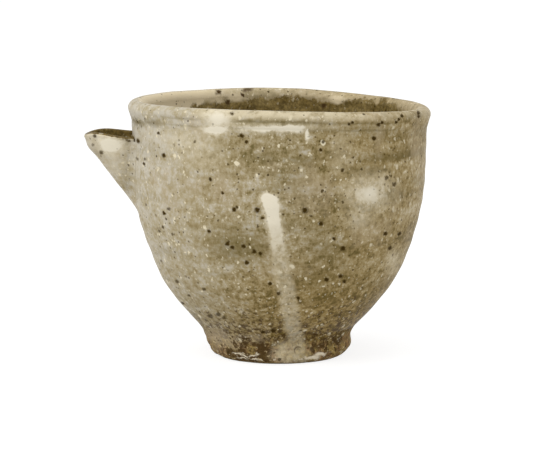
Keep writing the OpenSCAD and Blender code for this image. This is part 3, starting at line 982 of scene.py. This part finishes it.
def sum_up(tree, operation, a, b, clamp=False):
    """Output of a Math node on two values."""
    return put(tree, "ShaderNodeMath", {0: a, 1: b}, operation=operation, use_clamp=clamp).outputs[0]


def times(tree, a, b, clamp=False):
    """Output of a times b."""
    return sum_up(tree, "MULTIPLY", a, b, clamp)


def plus(tree, a, b):
    """Output of a plus b."""
    return sum_up(tree, "ADD", a, b)


def minus(tree, a, b):
    """Output of a minus b."""
    return sum_up(tree, "SUBTRACT", a, b)


def larger(tree, a, b):
    """Output of the larger of two values."""
    return sum_up(tree, "MAXIMUM", a, b)


def add_scaled(tree, value, factor, base):
    """Output of value times factor plus base."""
    values = {0: value, 1: factor, 2: base}
    return put(tree, "ShaderNodeMath", values, operation="MULTIPLY_ADD").outputs[0]


def hypotenuse(tree, a, b):
    """Output of the length of a and b at right angles."""
    return sum_up(tree, "SQRT", add_scaled(tree, a, a, times(tree, b, b)), 0.0)


def step_between(tree, value, low, high, to_low=0.0, to_high=1.0):
    """Output of a soft step of a value from one bound to another."""
    values = {"Value": value, "From Min": low, "From Max": high, "To Min": to_low, "To Max": to_high}
    return put(tree, "ShaderNodeMapRange", values, interpolation_type="SMOOTHSTEP").outputs[0]


def blend(tree, factor, a, b, blend_type="MIX"):
    """Output of a colour mix."""
    node = put(tree, "ShaderNodeMix", {0: factor, 6: a, 7: b}, data_type="RGBA", blend_type=blend_type)
    return node.outputs[2]


def rough(tree, vector, scale, detail=3.0, roughness=0.55):
    """Output of a noise pattern, from 0 to 1."""
    values = {"Vector": vector, "Scale": scale, "Detail": detail, "Roughness": roughness}
    return put(tree, "ShaderNodeTexNoise", values).outputs["Fac"]


def stretched(tree, vector, scale):
    """A pattern's coordinates, scaled along each axis."""
    return put(tree, "ShaderNodeMapping", {"Vector": vector, "Scale": scale}).outputs[0]


def move(tree, operation, values):
    """Output of a Vector Math node."""
    return put(tree, "ShaderNodeVectorMath", values, operation=operation).outputs[0]


def shaken(tree, vector, scale, reach):
    """Coordinates moved to and fro by a noise pattern, so that what they draw gets a ragged edge."""
    values = {"Vector": vector, "Scale": scale, "Detail": 3.0}
    shake = put(tree, "ShaderNodeTexNoise", values).outputs["Color"]
    shake = move(tree, "SUBTRACT", {0: shake, 1: (0.5, 0.5, 0.5)})
    shake = move(tree, "SCALE", {0: shake, "Scale": reach})
    return move(tree, "ADD", {0: vector, 1: shake})


def parts(tree, vector):
    """The X, Y and Z outputs of a vector."""
    return put(tree, "ShaderNodeSeparateXYZ", {0: vector}).outputs


def rgba(value):
    """A colour property as four numbers."""
    return (*value, 1.0)


def tint(tree, factor, base, shade):
    """Output of a colour drawn towards a colour property."""
    return blend(tree, factor, base, rgba(shade))


def ramp(tree, factor, stops):
    """Output of a colour ramp through pairs of place and colour."""
    node = put(tree, "ShaderNodeValToRGB", {0: factor})
    elements = node.color_ramp.elements
    for _ in stops[2:]:
        elements.new(1.0)
    for element, (place, shade) in zip(elements, stops):
        element.position = place
        element.color = rgba(shade)
    return node.outputs[0]


SOCKET_KINDS = {"Vector": "NodeSocketVector", "Color": "NodeSocketColor"}


def new_group(name, inputs, outputs):
    """A shader node group with sockets whose kind follows their names, plain numbers by default."""
    tree = bpy.data.node_groups.new(name, "ShaderNodeTree")
    for way, labels in (("INPUT", inputs), ("OUTPUT", outputs)):
        for label in labels:
            kind = SOCKET_KINDS.get(label, "NodeSocketFloat")
            tree.interface.new_socket(label, in_out=way, socket_type=kind)
    return tree, tree.nodes.new("NodeGroupInput").outputs, tree.nodes.new("NodeGroupOutput").inputs


def use_group(tree, group, values):
    """Outputs of a node that runs a group."""
    node = put(tree, "ShaderNodeGroup", node_tree=group)
    fill(tree, node, values)
    return node.outputs


def specks_group():
    """Round specks of mixed sizes, scattered one to a cell."""
    name = "Specks"
    if name in bpy.data.node_groups:
        return bpy.data.node_groups[name]
    tree, given, out = new_group(name, ("Vector", "Scale", "Radius", "Amount", "Edge"), ("Mask",))
    cells = put(tree, "ShaderNodeTexVoronoi", {"Vector": given["Vector"], "Scale": given["Scale"]})
    chance = put(tree, "ShaderNodeSeparateColor", {0: cells.outputs["Color"]}).outputs
    present = sum_up(tree, "LESS_THAN", chance[0], given["Amount"])
    size = step_between(tree, chance[1], 0.0, 1.0, 0.35, 1.0)
    radius = times(tree, given["Radius"], size)
    soft = plus(tree, radius, given["Edge"])
    dot = step_between(tree, cells.outputs["Distance"], radius, soft, 1.0, 0.0)
    tree.links.new(times(tree, dot, present), out["Mask"])
    return tree


def patch_group():
    """A soft oval patch, seen level from the front."""
    name = "Glaze patch"
    if name in bpy.data.node_groups:
        return bpy.data.node_groups[name]
    inputs = ("X", "Z", "Middle X", "Middle Z", "Half width", "Half height", "Edge", "Strength")
    tree, given, out = new_group(name, inputs, ("Mask",))
    across = minus(tree, given["X"], given["Middle X"])
    across = sum_up(tree, "DIVIDE", across, given["Half width"])
    along = minus(tree, given["Z"], given["Middle Z"])
    along = sum_up(tree, "DIVIDE", along, given["Half height"])
    reach = hypotenuse(tree, across, along)
    outer = plus(tree, 1.0, given["Edge"])
    inner = minus(tree, 1.0, given["Edge"])
    cover = step_between(tree, reach, outer, inner)
    tree.links.new(times(tree, cover, given["Strength"]), out["Mask"])
    return tree


def specks(tree, vector, scale, radius, amount, edge):
    """Mask of one scatter of specks."""
    values = {"Vector": vector, "Scale": scale, "Radius": radius, "Amount": amount, "Edge": edge}
    return use_group(tree, specks_group(), values)["Mask"]


def patches_mask(tree, patches, at):
    """Mask of a row of patches, seen level from the front."""
    mask = None
    for patch in patches:
        values = {
            "X": at["X"], "Z": at["Z"], "Middle X": patch.x, "Middle Z": patch.z,
            "Half width": patch.half_w, "Half height": patch.half_h,
            "Edge": patch.edge, "Strength": patch.strength}
        cover = use_group(tree, patch_group(), values)["Mask"]
        mask = cover if mask is None else larger(tree, mask, cover)
    return mask


def marks_on(tree, patches, at, where):
    """Mask of a row of patches on one side only."""
    return times(tree, patches_mask(tree, patches, at), where)


# Depths between which the front and the far side start
FRONT_EDGE = (0.0, -0.006)
FAR_EDGE = (0.0, 0.006)


def in_front(tree, y):
    """1 on the front half and 0 behind, with a soft step."""
    return step_between(tree, y, *FRONT_EDGE)


def white_run(tree, run, x, z):
    """Mask of the long white run: round head, slanting tail that fades downwards."""
    slant = (run.low_x - run.top_x) / (run.top_z - run.low_z)
    middle = add_scaled(tree, minus(tree, run.top_z, z), slant, run.top_x)
    half = step_between(tree, z, run.top_z - 2 * run.head_w, run.top_z, run.tail_w, run.head_w)
    across = sum_up(tree, "DIVIDE", minus(tree, x, middle), half)
    above = larger(tree, minus(tree, z, run.top_z), 0.0)
    above = sum_up(tree, "DIVIDE", above, run.head_h)
    reach = hypotenuse(tree, across, above)

    def up_run(share_up):
        return mix(run.low_z, run.top_z, share_up)

    fade = step_between(tree, z, up_run(0.42), up_run(0.95), 0.57, 1.0)
    soft = step_between(tree, z, up_run(0.30), up_run(0.90), 1.50, 1.25)
    return times(tree, step_between(tree, reach, soft, 0.60), fade)


# Glaze and clay

# Where the even glaze of the spout's side goes over into the mottled rest
PALE_SIDE = (-0.036, 0.0)
# Gloss of the body under its coat, and weight and roughness of the glaze's coat
BODY_GLOSS = 0.02
COAT_WEIGHT = 0.14
COAT_ROUGHNESS = 0.30
# Depth and strength of the fine relief of glaze and clay
GLAZE_RELIEF = (0.00014, 0.6)
CLAY_RELIEF = (0.00035, 0.8)


def ash_ground_group(colours):
    """The ash glaze: pale on the spout's side, olive to brown elsewhere, smeared and full of grit."""
    name = "Ash ground"
    if name in bpy.data.node_groups:
        return bpy.data.node_groups[name]
    tree, given, out = new_group(name, ("Vector",), ("Color", "Grain", "Grit"))
    place = given["Vector"]
    axes = parts(tree, place)

    # Tone, from thick glaze to thin
    smears = rough(tree, stretched(tree, place, (0.4, 0.4, 1.8)), 75.0, 4.0, 0.6)
    mottle = rough(tree, stretched(tree, place, (0.75, 0.75, 1.5)), 240.0, 5.0, 0.7)
    clots = rough(tree, stretched(tree, place, (1.0, 1.0, 0.9)), 430.0, 4.0, 0.65)
    grain = rough(tree, stretched(tree, place, (1.0, 1.0, 0.8)), 900.0, 4.0, 0.7)
    side = step_between(tree, axes["X"], -0.052, 0.002, 0.20, 0.525)
    upper = times(
        tree, step_between(tree, axes["Z"], 0.052, 0.080, 0.0, -0.13),
        step_between(tree, axes["X"], -0.008, -0.034))
    side = plus(tree, side, upper)
    right = step_between(tree, axes["X"], -0.010, 0.046, 0.0, 0.02)
    low = step_between(tree, axes["Z"], 0.050, 0.004, 0.0, 0.18)
    low = times(tree, low, step_between(tree, axes["X"], -0.034, 0.004, 0.0, 0.95))
    tone = plus(tree, plus(tree, side, right), low)
    speckle = minus(tree, plus(tree, clots, grain), 1.0)
    speckle = times(tree, speckle, step_between(tree, axes["X"], *PALE_SIDE, 0.9, 1.5))
    speckle = times(tree, speckle, step_between(tree, axes["Z"], 0.042, 0.012, 1.0, 1.3))
    tone = plus(tree, tone, speckle)
    for pattern, least, most in ((smears, 0.50, 1.25), (mottle, 0.90, 1.50)):
        spread = step_between(tree, axes["X"], *PALE_SIDE, least, most)
        tone = add_scaled(tree, minus(tree, pattern, 0.5), spread, tone)
    stops = (
        (0.0, colours.ash_grey), (0.30, colours.ash_beige), (0.50, colours.ash_olive),
        (0.72, colours.ash_brown), (1.0, colours.ash_dark))
    base = ramp(tree, tone, stops)

    # Dark smears, level streaks and the warmer side
    front = in_front(tree, axes["Y"])
    ragged = parts(tree, shaken(tree, place, 420.0, 0.0022))
    dark = marks_on(tree, DARK_SMEARS, ragged, front)
    base = tint(tree, times(tree, dark, 0.7), base, colours.ash_dark)
    bands = rough(tree, stretched(tree, place, (0.12, 0.12, 1.0)), 210.0, 4.0, 0.6)
    streaks = times(
        tree, step_between(tree, bands, 0.48, 0.72),
        step_between(tree, axes["X"], -0.030, 0.040, 0.20, 0.42))
    base = tint(tree, streaks, base, colours.ash_dark)
    warm = larger(
        tree, step_between(tree, axes["Z"], 0.055, 0.012),
        step_between(tree, axes["X"], 0.000, 0.030, 0.0, 0.55))
    warm = times(tree, warm, step_between(tree, axes["X"], -0.030, 0.010))
    base = blend(tree, warm, base, blend(tree, 1.0, base, rgba(colours.warmth), "MULTIPLY"))

    # Burnt pits, which crowd towards the foot
    flecks = rough(tree, place, 620.0, 4.0, 0.7)
    burn = step_between(tree, axes["Z"], 0.034, 0.002, 0.0, 0.25)
    burn = plus(tree, burn, step_between(tree, axes["X"], -0.046, -0.004, -0.05, 0.0))
    burnt = step_between(tree, plus(tree, flecks, burn), 0.65, 0.75, 0.0, 0.85)
    base = tint(tree, burnt, base, colours.burnt)

    # Pale grit in four sizes, under a thin warm veil
    upright = stretched(tree, shaken(tree, place, 800.0, 0.0017), (1.0, 1.0, 0.8))
    crowd = rough(tree, place, 130.0, 3.0, 0.6)
    coarse = specks(tree, upright, 300.0, 0.18, step_between(tree, crowd, 0.35, 0.65, 0.05, 0.45), 0.10)
    middling = specks(tree, upright, 560.0, 0.19, step_between(tree, crowd, 0.35, 0.65, 0.10, 0.55), 0.14)
    large = specks(tree, upright, 235.0, 0.13, 0.16, 0.12)
    coarse = larger(tree, coarse, large)
    fine = specks(tree, upright, 1100.0, 0.24, 0.18, 0.24)
    grit = larger(tree, coarse, times(tree, middling, 0.9))
    grit = larger(tree, grit, times(tree, fine, 0.55))
    grit = times(tree, grit, step_between(tree, axes["X"], 0.008, 0.040, 1.0, 0.62))
    base = tint(tree, grit, base, colours.grit)
    veil = rough(tree, stretched(tree, place, (1.0, 1.0, 0.7)), 75.0, 4.0, 0.6)
    veil = step_between(tree, veil, 0.50, 0.68, 0.0, 0.32)
    veil = times(tree, veil, step_between(tree, axes["Z"], 0.020, 0.045, 0.25, 1.0))
    base = tint(tree, veil, base, colours.ash_rose)
    tree.links.new(base, out["Color"])
    tree.links.new(grain, out["Grain"])
    tree.links.new(grit, out["Grit"])
    return tree


def white_glaze_group(run):
    """Mask of the white glaze: the long run and the patches in front, two of them partly a painted sheen,
    and clouds behind.
    """
    name = "White glaze"
    if name in bpy.data.node_groups:
        return bpy.data.node_groups[name]
    tree, given, out = new_group(name, ("Vector",), ("Mask",))
    place = given["Vector"]
    ragged = parts(tree, shaken(tree, shaken(tree, place, 150.0, 0.0022), 520.0, 0.0015))
    white = larger(
        tree, patches_mask(tree, WHITE_PATCHES, ragged),
        white_run(tree, run, ragged["X"], ragged["Z"]))
    front = in_front(tree, parts(tree, place)["Y"])
    clouds = step_between(tree, rough(tree, place, 62.0, 3.0, 0.5), 0.58, 0.74, 0.0, 0.8)
    behind = times(tree, clouds, minus(tree, 1.0, front))
    white = add_scaled(tree, white, front, behind)
    mottle = step_between(tree, rough(tree, place, 480.0, 4.0, 0.7), 0.34, 0.60, 0.45, 1.0)
    mottle = larger(tree, mottle, step_between(tree, white, 0.55, 0.95))
    tree.links.new(times(tree, white, mottle, clamp=True), out["Mask"])
    return tree


def iron_group():
    """Masks of the iron specks: a scatter all over, and the larger spots in front."""
    name = "Iron specks"
    if name in bpy.data.node_groups:
        return bpy.data.node_groups[name]
    tree, given, out = new_group(name, ("Vector",), ("Mask", "Spots"))
    place = shaken(tree, given["Vector"], 1100.0, 0.0010)
    big = specks(tree, place, 300.0, 0.14, 0.30, 0.08)
    small = specks(tree, place, 620.0, 0.15, 0.38, 0.14)
    axes = parts(tree, place)
    front = in_front(tree, axes["Y"])
    spots = marks_on(tree, IRON_SPOTS, axes, front)
    mask = larger(tree, times(tree, big, 0.85), times(tree, small, 0.75))
    tree.links.new(mask, out["Mask"])
    tree.links.new(spots, out["Spots"])
    return tree


def new_material(name):
    """A fresh material with its node tree and shader."""
    material = bpy.data.materials.new(name)
    material.use_nodes = True
    tree = material.node_tree
    shader = tree.nodes["Principled BSDF"]
    shader.inputs["Specular IOR Level"].default_value = BODY_GLOSS
    return material, tree, shader


def roughen(tree, shader, relief, depth, strength):
    """Gives a surface its fine relief."""
    values = {"Height": relief, "Distance": depth, "Strength": strength}
    tree.links.new(put(tree, "ShaderNodeBump", values).outputs[0], shader.inputs["Normal"])


def named_value(tree, name):
    """Output of one of the mesh's own values."""
    return put(tree, "ShaderNodeAttribute", attribute_name=name).outputs["Fac"]


def inner_pool(tree, place, inside):
    """Mask of the dark glaze inside, which ends in a ragged tide line below the rim."""
    axes = parts(tree, place)
    tide = rough(tree, stretched(tree, place, (1.0, 1.0, 0.8)), 170.0, 6.0, 0.68)
    tide = add_scaled(tree, minus(tree, tide, 0.5), -0.012, axes["Z"])
    ebb = larger(
        tree, step_between(tree, axes["X"], -0.024, -0.040, 0.0, 0.0060),
        step_between(tree, axes["X"], 0.039, 0.047, 0.0, 0.006))
    off_axis = hypotenuse(tree, axes["X"], axes["Y"])
    tide = add_scaled(tree, ebb, step_between(tree, off_axis, 0.0480, 0.0474), tide)
    ragged = add_scaled(tree, minus(tree, rough(tree, place, 700.0), 0.5), 0.9, inside)
    return times(tree, step_between(tree, tide, 0.0832, 0.0818), step_between(tree, ragged, 0.35, 0.60))


def ash_glaze(scene):
    """Satin ash glaze with grit, iron specks, white runs, a pale crest that is partly a painted
    highlight, painted shade in the rim lines, a pale lining that is partly painted light, and dark pools
    inside.
    """
    name = "satin_ash_glaze"
    if name in bpy.data.materials:
        return bpy.data.materials[name]
    colours = scene.pourer_colours
    material, tree, shader = new_material(name)
    shader.inputs["Coat Roughness"].default_value = COAT_ROUGHNESS
    place = put(tree, "ShaderNodeTexCoord").outputs["Object"]
    axes = parts(tree, place)
    inside = named_value(tree, "inside")
    ground = use_group(tree, ash_ground_group(colours), {"Vector": place})
    base = ground["Color"]

    # Pale crest of the rim, paler glaze with a painted highlight that is strongest on the near side, and
    # painted shade in the lines under it
    worn = step_between(tree, rough(tree, place, 240.0, 4.0, 0.65), 0.36, 0.56, 0.25, 1.0)
    middle = sum_up(
        tree, "MINIMUM", step_between(tree, axes["X"], 0.046, 0.012, 0.45, 1.0),
        step_between(tree, axes["X"], -0.036, -0.010, 0.10, 1.0))
    near = step_between(tree, axes["Y"], 0.010, -0.010, 0.15, 0.85)
    pale = times(tree, times(tree, named_value(tree, "crest"), middle), near)
    # Painted highlight along the crest, over its paler glaze
    base = tint(tree, times(tree, pale, worn), base, colours.crest)
    # Painted shade in the two lines under the rim, by their depth
    base = tint(tree, times(tree, named_value(tree, "line"), 0.5), base, colours.ash_dark)

    # White glaze, thin towards its edges
    white = use_group(tree, white_glaze_group(scene.pourer_run), {"Vector": place})["Mask"]
    outside = minus(tree, 1.0, inside)
    white = times(tree, white, outside)
    thick = step_between(tree, white, 0.30, 1.05)
    base = blend(tree, white, base, tint(tree, thick, rgba(colours.crest), colours.white))

    # Pale lining, partly pale glaze and partly painted light that lifts the inner wall on the spout's
    # side out of shade, dark pool and the marks across from the front
    # Painted light: the lining grows paler towards the spout's side, where the inner wall lies in shade
    lining_and_painted_light = times(tree, inside, step_between(tree, axes["X"], -0.010, -0.030, 0.25, 0.85))
    base = tint(tree, lining_and_painted_light, base, colours.lining_and_painted_light)
    pool = inner_pool(tree, place, inside)
    deep = rough(tree, stretched(tree, place, (1.0, 1.0, 1.8)), 110.0, 6.0, 0.72)
    deep = plus(tree, deep, step_between(tree, axes["X"], -0.047, -0.052, 0.0, -0.30))
    deep = step_between(tree, deep, 0.34, 0.68)
    pool_colour = tint(tree, deep, rgba(colours.pool), colours.pool_olive)
    shade = step_between(tree, ground["Grain"], 0.30, 0.70, 0.60, 1.40)
    pool_colour = blend(tree, 1.0, pool_colour, shade, "MULTIPLY")
    pool_colour = tint(tree, times(tree, ground["Grit"], 0.45), pool_colour, colours.crest)
    base = blend(tree, pool, base, pool_colour)
    lumps = parts(tree, shaken(tree, place, 420.0, 0.0026))
    far = times(tree, inside, step_between(tree, axes["Y"], *FAR_EDGE))
    pale = marks_on(tree, FAR_PALE, lumps, far)
    base = tint(tree, pale, base, colours.lining_and_painted_light)
    dark = marks_on(tree, FAR_DARK, lumps, far)
    base = tint(tree, dark, base, colours.burnt)

    # Iron, fainter under the white
    specked = use_group(tree, iron_group(), {"Vector": place})
    spots = times(tree, specked["Spots"], outside)
    iron = larger(tree, specked["Mask"], spots)
    iron = times(tree, iron, add_scaled(tree, white, -0.55, 1.0))
    base = tint(tree, iron, base, colours.iron)
    tree.links.new(base, shader.inputs["Base Color"])

    coat = add_scaled(tree, iron, -COAT_WEIGHT, COAT_WEIGHT)
    tree.links.new(coat, shader.inputs["Coat Weight"])
    gloss = step_between(tree, ground["Grain"], 0.2, 0.8, 0.40, 0.58)
    gloss = add_scaled(tree, larger(tree, white, pool), -0.14, gloss)
    tree.links.new(gloss, shader.inputs["Roughness"])

    relief = add_scaled(tree, ground["Grit"], 0.5, times(tree, ground["Grain"], 0.5))
    relief = add_scaled(tree, iron, -0.5, relief)
    roughen(tree, shader, relief, *GLAZE_RELIEF)
    return material


def foot_clay(scene):
    """Rough brown stoneware under a thin broken glaze, with cream drops along the lower edge."""
    name = "rough_foot_clay"
    if name in bpy.data.materials:
        return bpy.data.materials[name]
    colours = scene.pourer_colours
    material, tree, shader = new_material(name)
    place = put(tree, "ShaderNodeTexCoord").outputs["Object"]
    axes = parts(tree, place)
    ground = use_group(tree, ash_ground_group(colours), {"Vector": place})
    base = ground["Color"]

    # Bare clay that breaks through the thin glaze
    front = in_front(tree, axes["Y"])
    lumps = parts(tree, shaken(tree, shaken(tree, place, 260.0, 0.0040), 700.0, 0.0016))
    broken = rough(tree, place, 330.0, 5.0, 0.7)
    bare = plus(tree, broken, step_between(tree, axes["Z"], 0.0115, 0.0040, -0.16, 0.10))
    stain = step_between(tree, rough(tree, place, 240.0, 3.0, 0.6), 0.42, 0.60)
    clay = tint(tree, stain, rgba(colours.clay_brown), colours.clay_olive)
    grain = step_between(tree, ground["Grain"], 0.30, 0.70, 0.45, 1.55)
    clay = blend(tree, 1.0, clay, grain, "MULTIPLY")
    base = blend(tree, step_between(tree, bare, 0.46, 0.56, 0.0, 0.9), base, clay)
    beige = marks_on(tree, FOOT_BEIGE, lumps, front)
    base = tint(tree, times(tree, beige, 0.8), base, colours.ash_rose)
    dark = marks_on(tree, FOOT_DARK, lumps, front)
    dark = add_scaled(tree, dark, 0.16, step_between(tree, axes["Z"], 0.0080, 0.0020, 0.0, 0.05))
    pits = plus(tree, dark, rough(tree, place, 360.0, 6.0, 0.75))
    pits = step_between(tree, pits, 0.57, 0.65, 0.0, 0.9)
    base = tint(tree, pits, base, colours.burnt)
    crumbs = rough(tree, stretched(tree, place, (1.0, 1.0, 1.7)), 460.0, 4.0, 0.7)
    crumbs = step_between(tree, crumbs, 0.575, 0.655, 0.0, 0.7)
    base = tint(tree, crumbs, base, colours.crumb)

    # End of the white run, the burst bubble, cream chips, and the bare resting face, darkened also as a
    # painted contact shadow
    white = use_group(tree, white_glaze_group(scene.pourer_run), {"Vector": place})["Mask"]
    base = tint(tree, white, base, colours.crest)
    ring = minus(
        tree, patches_mask(tree, CRATER[:1], axes),
        patches_mask(tree, CRATER[1:], axes))
    base = tint(tree, times(tree, ring, front, clamp=True), base, colours.burnt)
    ragged = parts(tree, shaken(tree, place, 520.0, 0.0026))
    cream = marks_on(tree, CREAM_CHIPS, ragged, front)
    edge = step_between(tree, axes["Z"], 0.0036, 0.0012)
    drops = rough(tree, stretched(tree, place, (1.0, 1.0, 1.6)), 420.0, 4.0, 0.6)
    drops = times(tree, step_between(tree, drops, 0.58, 0.64, 0.0, 0.8), edge)
    cream = larger(tree, cream, drops)
    base = tint(tree, cream, base, colours.chip_cream)
    # Painted contact shadow along the lower edge, over the bare clay of the resting face
    resting = step_between(tree, axes["Z"], 0.0009, 0.0003, 0.0, 0.85)
    sole = step_between(tree, plus(tree, broken, ground["Grain"]), 0.85, 1.15, 0.0, 0.75)
    sole = tint(tree, sole, rgba(colours.ash_dark), colours.clay_brown)
    base = blend(tree, resting, base, sole)

    # Iron, and the rough surface
    specked = use_group(tree, iron_group(), {"Vector": place})
    iron = larger(tree, specked["Mask"], specked["Spots"])
    base = tint(tree, times(tree, iron, 0.9), base, colours.iron)
    tree.links.new(base, shader.inputs["Base Color"])
    gloss = step_between(tree, ground["Grain"], 0.2, 0.8, 0.50, 0.72)
    tree.links.new(gloss, shader.inputs["Roughness"])
    relief = add_scaled(tree, ground["Grit"], 0.6, ground["Grain"])
    relief = add_scaled(tree, broken, 1.5, relief)
    roughen(tree, shader, relief, *CLAY_RELIEF)
    return material


# Stage

WHITE = (1, 1, 1, 1)
# Width of the camera's sensor in millimetres
SENSOR_WIDTH = 36.0
# Place and size of each lamp, and the point that all of them face
LAMPS = {
    "key": ((-0.75, -0.55, 0.65), 0.7),
    "top": ((0.0, 0.1, 1.1), 0.9),
    "fill": ((0.8, -0.5, 0.35), 0.6),
}
LAMP_AIM = (0, 0, 0.045)


def seen_directly(tree):
    """1 where the camera or a clear reflection sees a surface, 0 where it only sends light on."""
    path = put(tree, "ShaderNodeLightPath").outputs
    seen = larger(tree, path["Is Camera Ray"], path["Is Glossy Ray"])
    return larger(tree, seen, path["Is Transmission Ray"])


def build_floor(stage):
    """A pale level floor that looks white and keeps the pourer's shadow."""
    bm = bmesh.new()
    bmesh.ops.create_grid(bm, x_segments=1, y_segments=1, size=stage.floor_size)
    mesh = bpy.data.meshes.new("floor")
    bm.to_mesh(mesh)
    bm.free()
    floor = bpy.data.objects.new("floor", mesh)
    bpy.context.scene.collection.objects.link(floor)
    material = bpy.data.materials.new("white_floor")
    material.use_nodes = True
    tree = material.node_tree
    tree.nodes.clear()
    seen = seen_directly(tree)
    tone = add_scaled(tree, seen, stage.floor_tone - stage.floor_bounce, stage.floor_bounce)
    lit = put(tree, "ShaderNodeBsdfDiffuse", {"Color": tone}).outputs[0]
    glow = times(tree, seen, stage.floor_white)
    white = put(tree, "ShaderNodeEmission", {"Strength": glow}).outputs[0]
    both = put(tree, "ShaderNodeAddShader", {0: lit, 1: white}).outputs[0]
    put(tree, "ShaderNodeOutputMaterial", {"Surface": both})
    mesh.materials.append(material)


def build_world(stage):
    """Even white light from all round, and a white backdrop."""
    world = bpy.data.worlds.new("studio")
    bpy.context.scene.world = world
    world.use_nodes = True
    tree = world.node_tree
    tree.nodes.clear()
    even = put(tree, "ShaderNodeBackground", {"Color": WHITE, "Strength": stage.sky}).outputs[0]
    backdrop = put(tree, "ShaderNodeBackground", {"Color": WHITE, "Strength": 1.0}).outputs[0]
    shown = put(tree, "ShaderNodeMixShader", {0: seen_directly(tree), 1: even, 2: backdrop}).outputs[0]
    put(tree, "ShaderNodeOutputWorld", {"Surface": shown})


def build_lamp(name, place, size, watts):
    """A square soft lamp that faces the pourer."""
    lamp = bpy.data.lights.new(name, "AREA")
    lamp.shape = "SQUARE"
    lamp.size = size
    lamp.energy = watts
    holder = bpy.data.objects.new(name, lamp)
    holder.location = place
    holder.rotation_euler = (Vector(LAMP_AIM) - Vector(place)).to_track_quat("-Z", "Y").to_euler()
    bpy.context.scene.collection.objects.link(holder)


def build_camera(stage):
    """The camera at the photograph's angle."""
    camera = bpy.data.cameras.new("front_camera")
    camera.sensor_fit = "HORIZONTAL"
    camera.sensor_width = SENSOR_WIDTH
    camera.lens = stage.lens
    holder = bpy.data.objects.new("front_camera", camera)
    holder.location = (stage.eye_x, stage.eye_y, stage.eye_z)
    holder.rotation_euler = (math.pi / 2 - stage.pitch, 0, 0)
    bpy.context.scene.collection.objects.link(holder)
    bpy.context.scene.camera = holder


def build_stage(scene):
    """Floor, lamps, world and camera."""
    stage = scene.pourer_stage
    scene.view_settings.view_transform = "Standard"
    build_floor(stage)
    build_world(stage)
    for name, (place, size) in LAMPS.items():
        build_lamp(f"{name}_lamp", place, size, getattr(stage, f"{name}_power"))
    build_camera(stage)


# Operators and panel


class POURER_OT_bowl(bpy.types.Operator):
    """Throw the bowl and glaze it"""

    bl_idname = "pourer.bowl"
    bl_label = "Throw the bowl"

    def execute(self, context):
        build_bowl(context.scene)
        return {"FINISHED"}


class POURER_OT_spout(bpy.types.Operator):
    """Shape the spout"""

    bl_idname = "pourer.spout"
    bl_label = "Shape the spout"

    def execute(self, context):
        build_spout(context.scene)
        return {"FINISHED"}


class POURER_OT_spout_luting(bpy.types.Operator):
    """Press the fillet of clay round the spout"""

    bl_idname = "pourer.spout_luting"
    bl_label = "Lute the spout"

    def execute(self, context):
        build_spout_luting(context.scene)
        return {"FINISHED"}


class POURER_OT_foot(bpy.types.Operator):
    """Turn the foot ring and the collar that joins it to the bowl"""

    bl_idname = "pourer.foot"
    bl_label = "Turn the foot"

    def execute(self, context):
        build_foot_ring(context.scene)
        build_foot_luting(context.scene)
        return {"FINISHED"}


class POURER_OT_stage(bpy.types.Operator):
    """Set up floor, lamps and camera"""

    bl_idname = "pourer.stage"
    bl_label = "Set the stage"

    def execute(self, context):
        build_stage(context.scene)
        return {"FINISHED"}


class POURER_PT_panel(bpy.types.Panel):
    """Lists the pourer's steps"""

    bl_idname = "POURER_PT_panel"
    bl_label = "Sake pourer"
    bl_space_type = "VIEW_3D"
    bl_region_type = "UI"
    bl_category = "Pourer"

    def draw(self, context):
        for step in STEPS:
            self.layout.operator(step.bl_idname)


SETTINGS = {
    "pourer_bowl": BowlSizes,
    "pourer_spout": SpoutSizes,
    "pourer_foot": FootSizes,
    "pourer_run": RunSizes,
    "pourer_colours": GlazeColours,
    "pourer_stage": StageSettings,
}
STEPS = (POURER_OT_bowl, POURER_OT_spout, POURER_OT_spout_luting, POURER_OT_foot, POURER_OT_stage)


def register():
    """Adds the settings, the operators and the panel."""
    for name, group in SETTINGS.items():
        bpy.utils.register_class(group)
        setattr(bpy.types.Scene, name, PointerProperty(type=group))
    for step in (*STEPS, POURER_PT_panel):
        bpy.utils.register_class(step)


def unregister():
    """Takes the panel, the operators and the settings away."""
    for step in reversed((*STEPS, POURER_PT_panel)):
        bpy.utils.unregister_class(step)
    for name, group in SETTINGS.items():
        delattr(bpy.types.Scene, name)
        bpy.utils.unregister_class(group)


def main():
    """Builds every piece and the stage."""
    register()
    bpy.ops.pourer.bowl()
    bpy.ops.pourer.spout()
    bpy.ops.pourer.spout_luting()
    bpy.ops.pourer.foot()
    bpy.ops.pourer.stage()


if __name__ == "__main__":
    main()
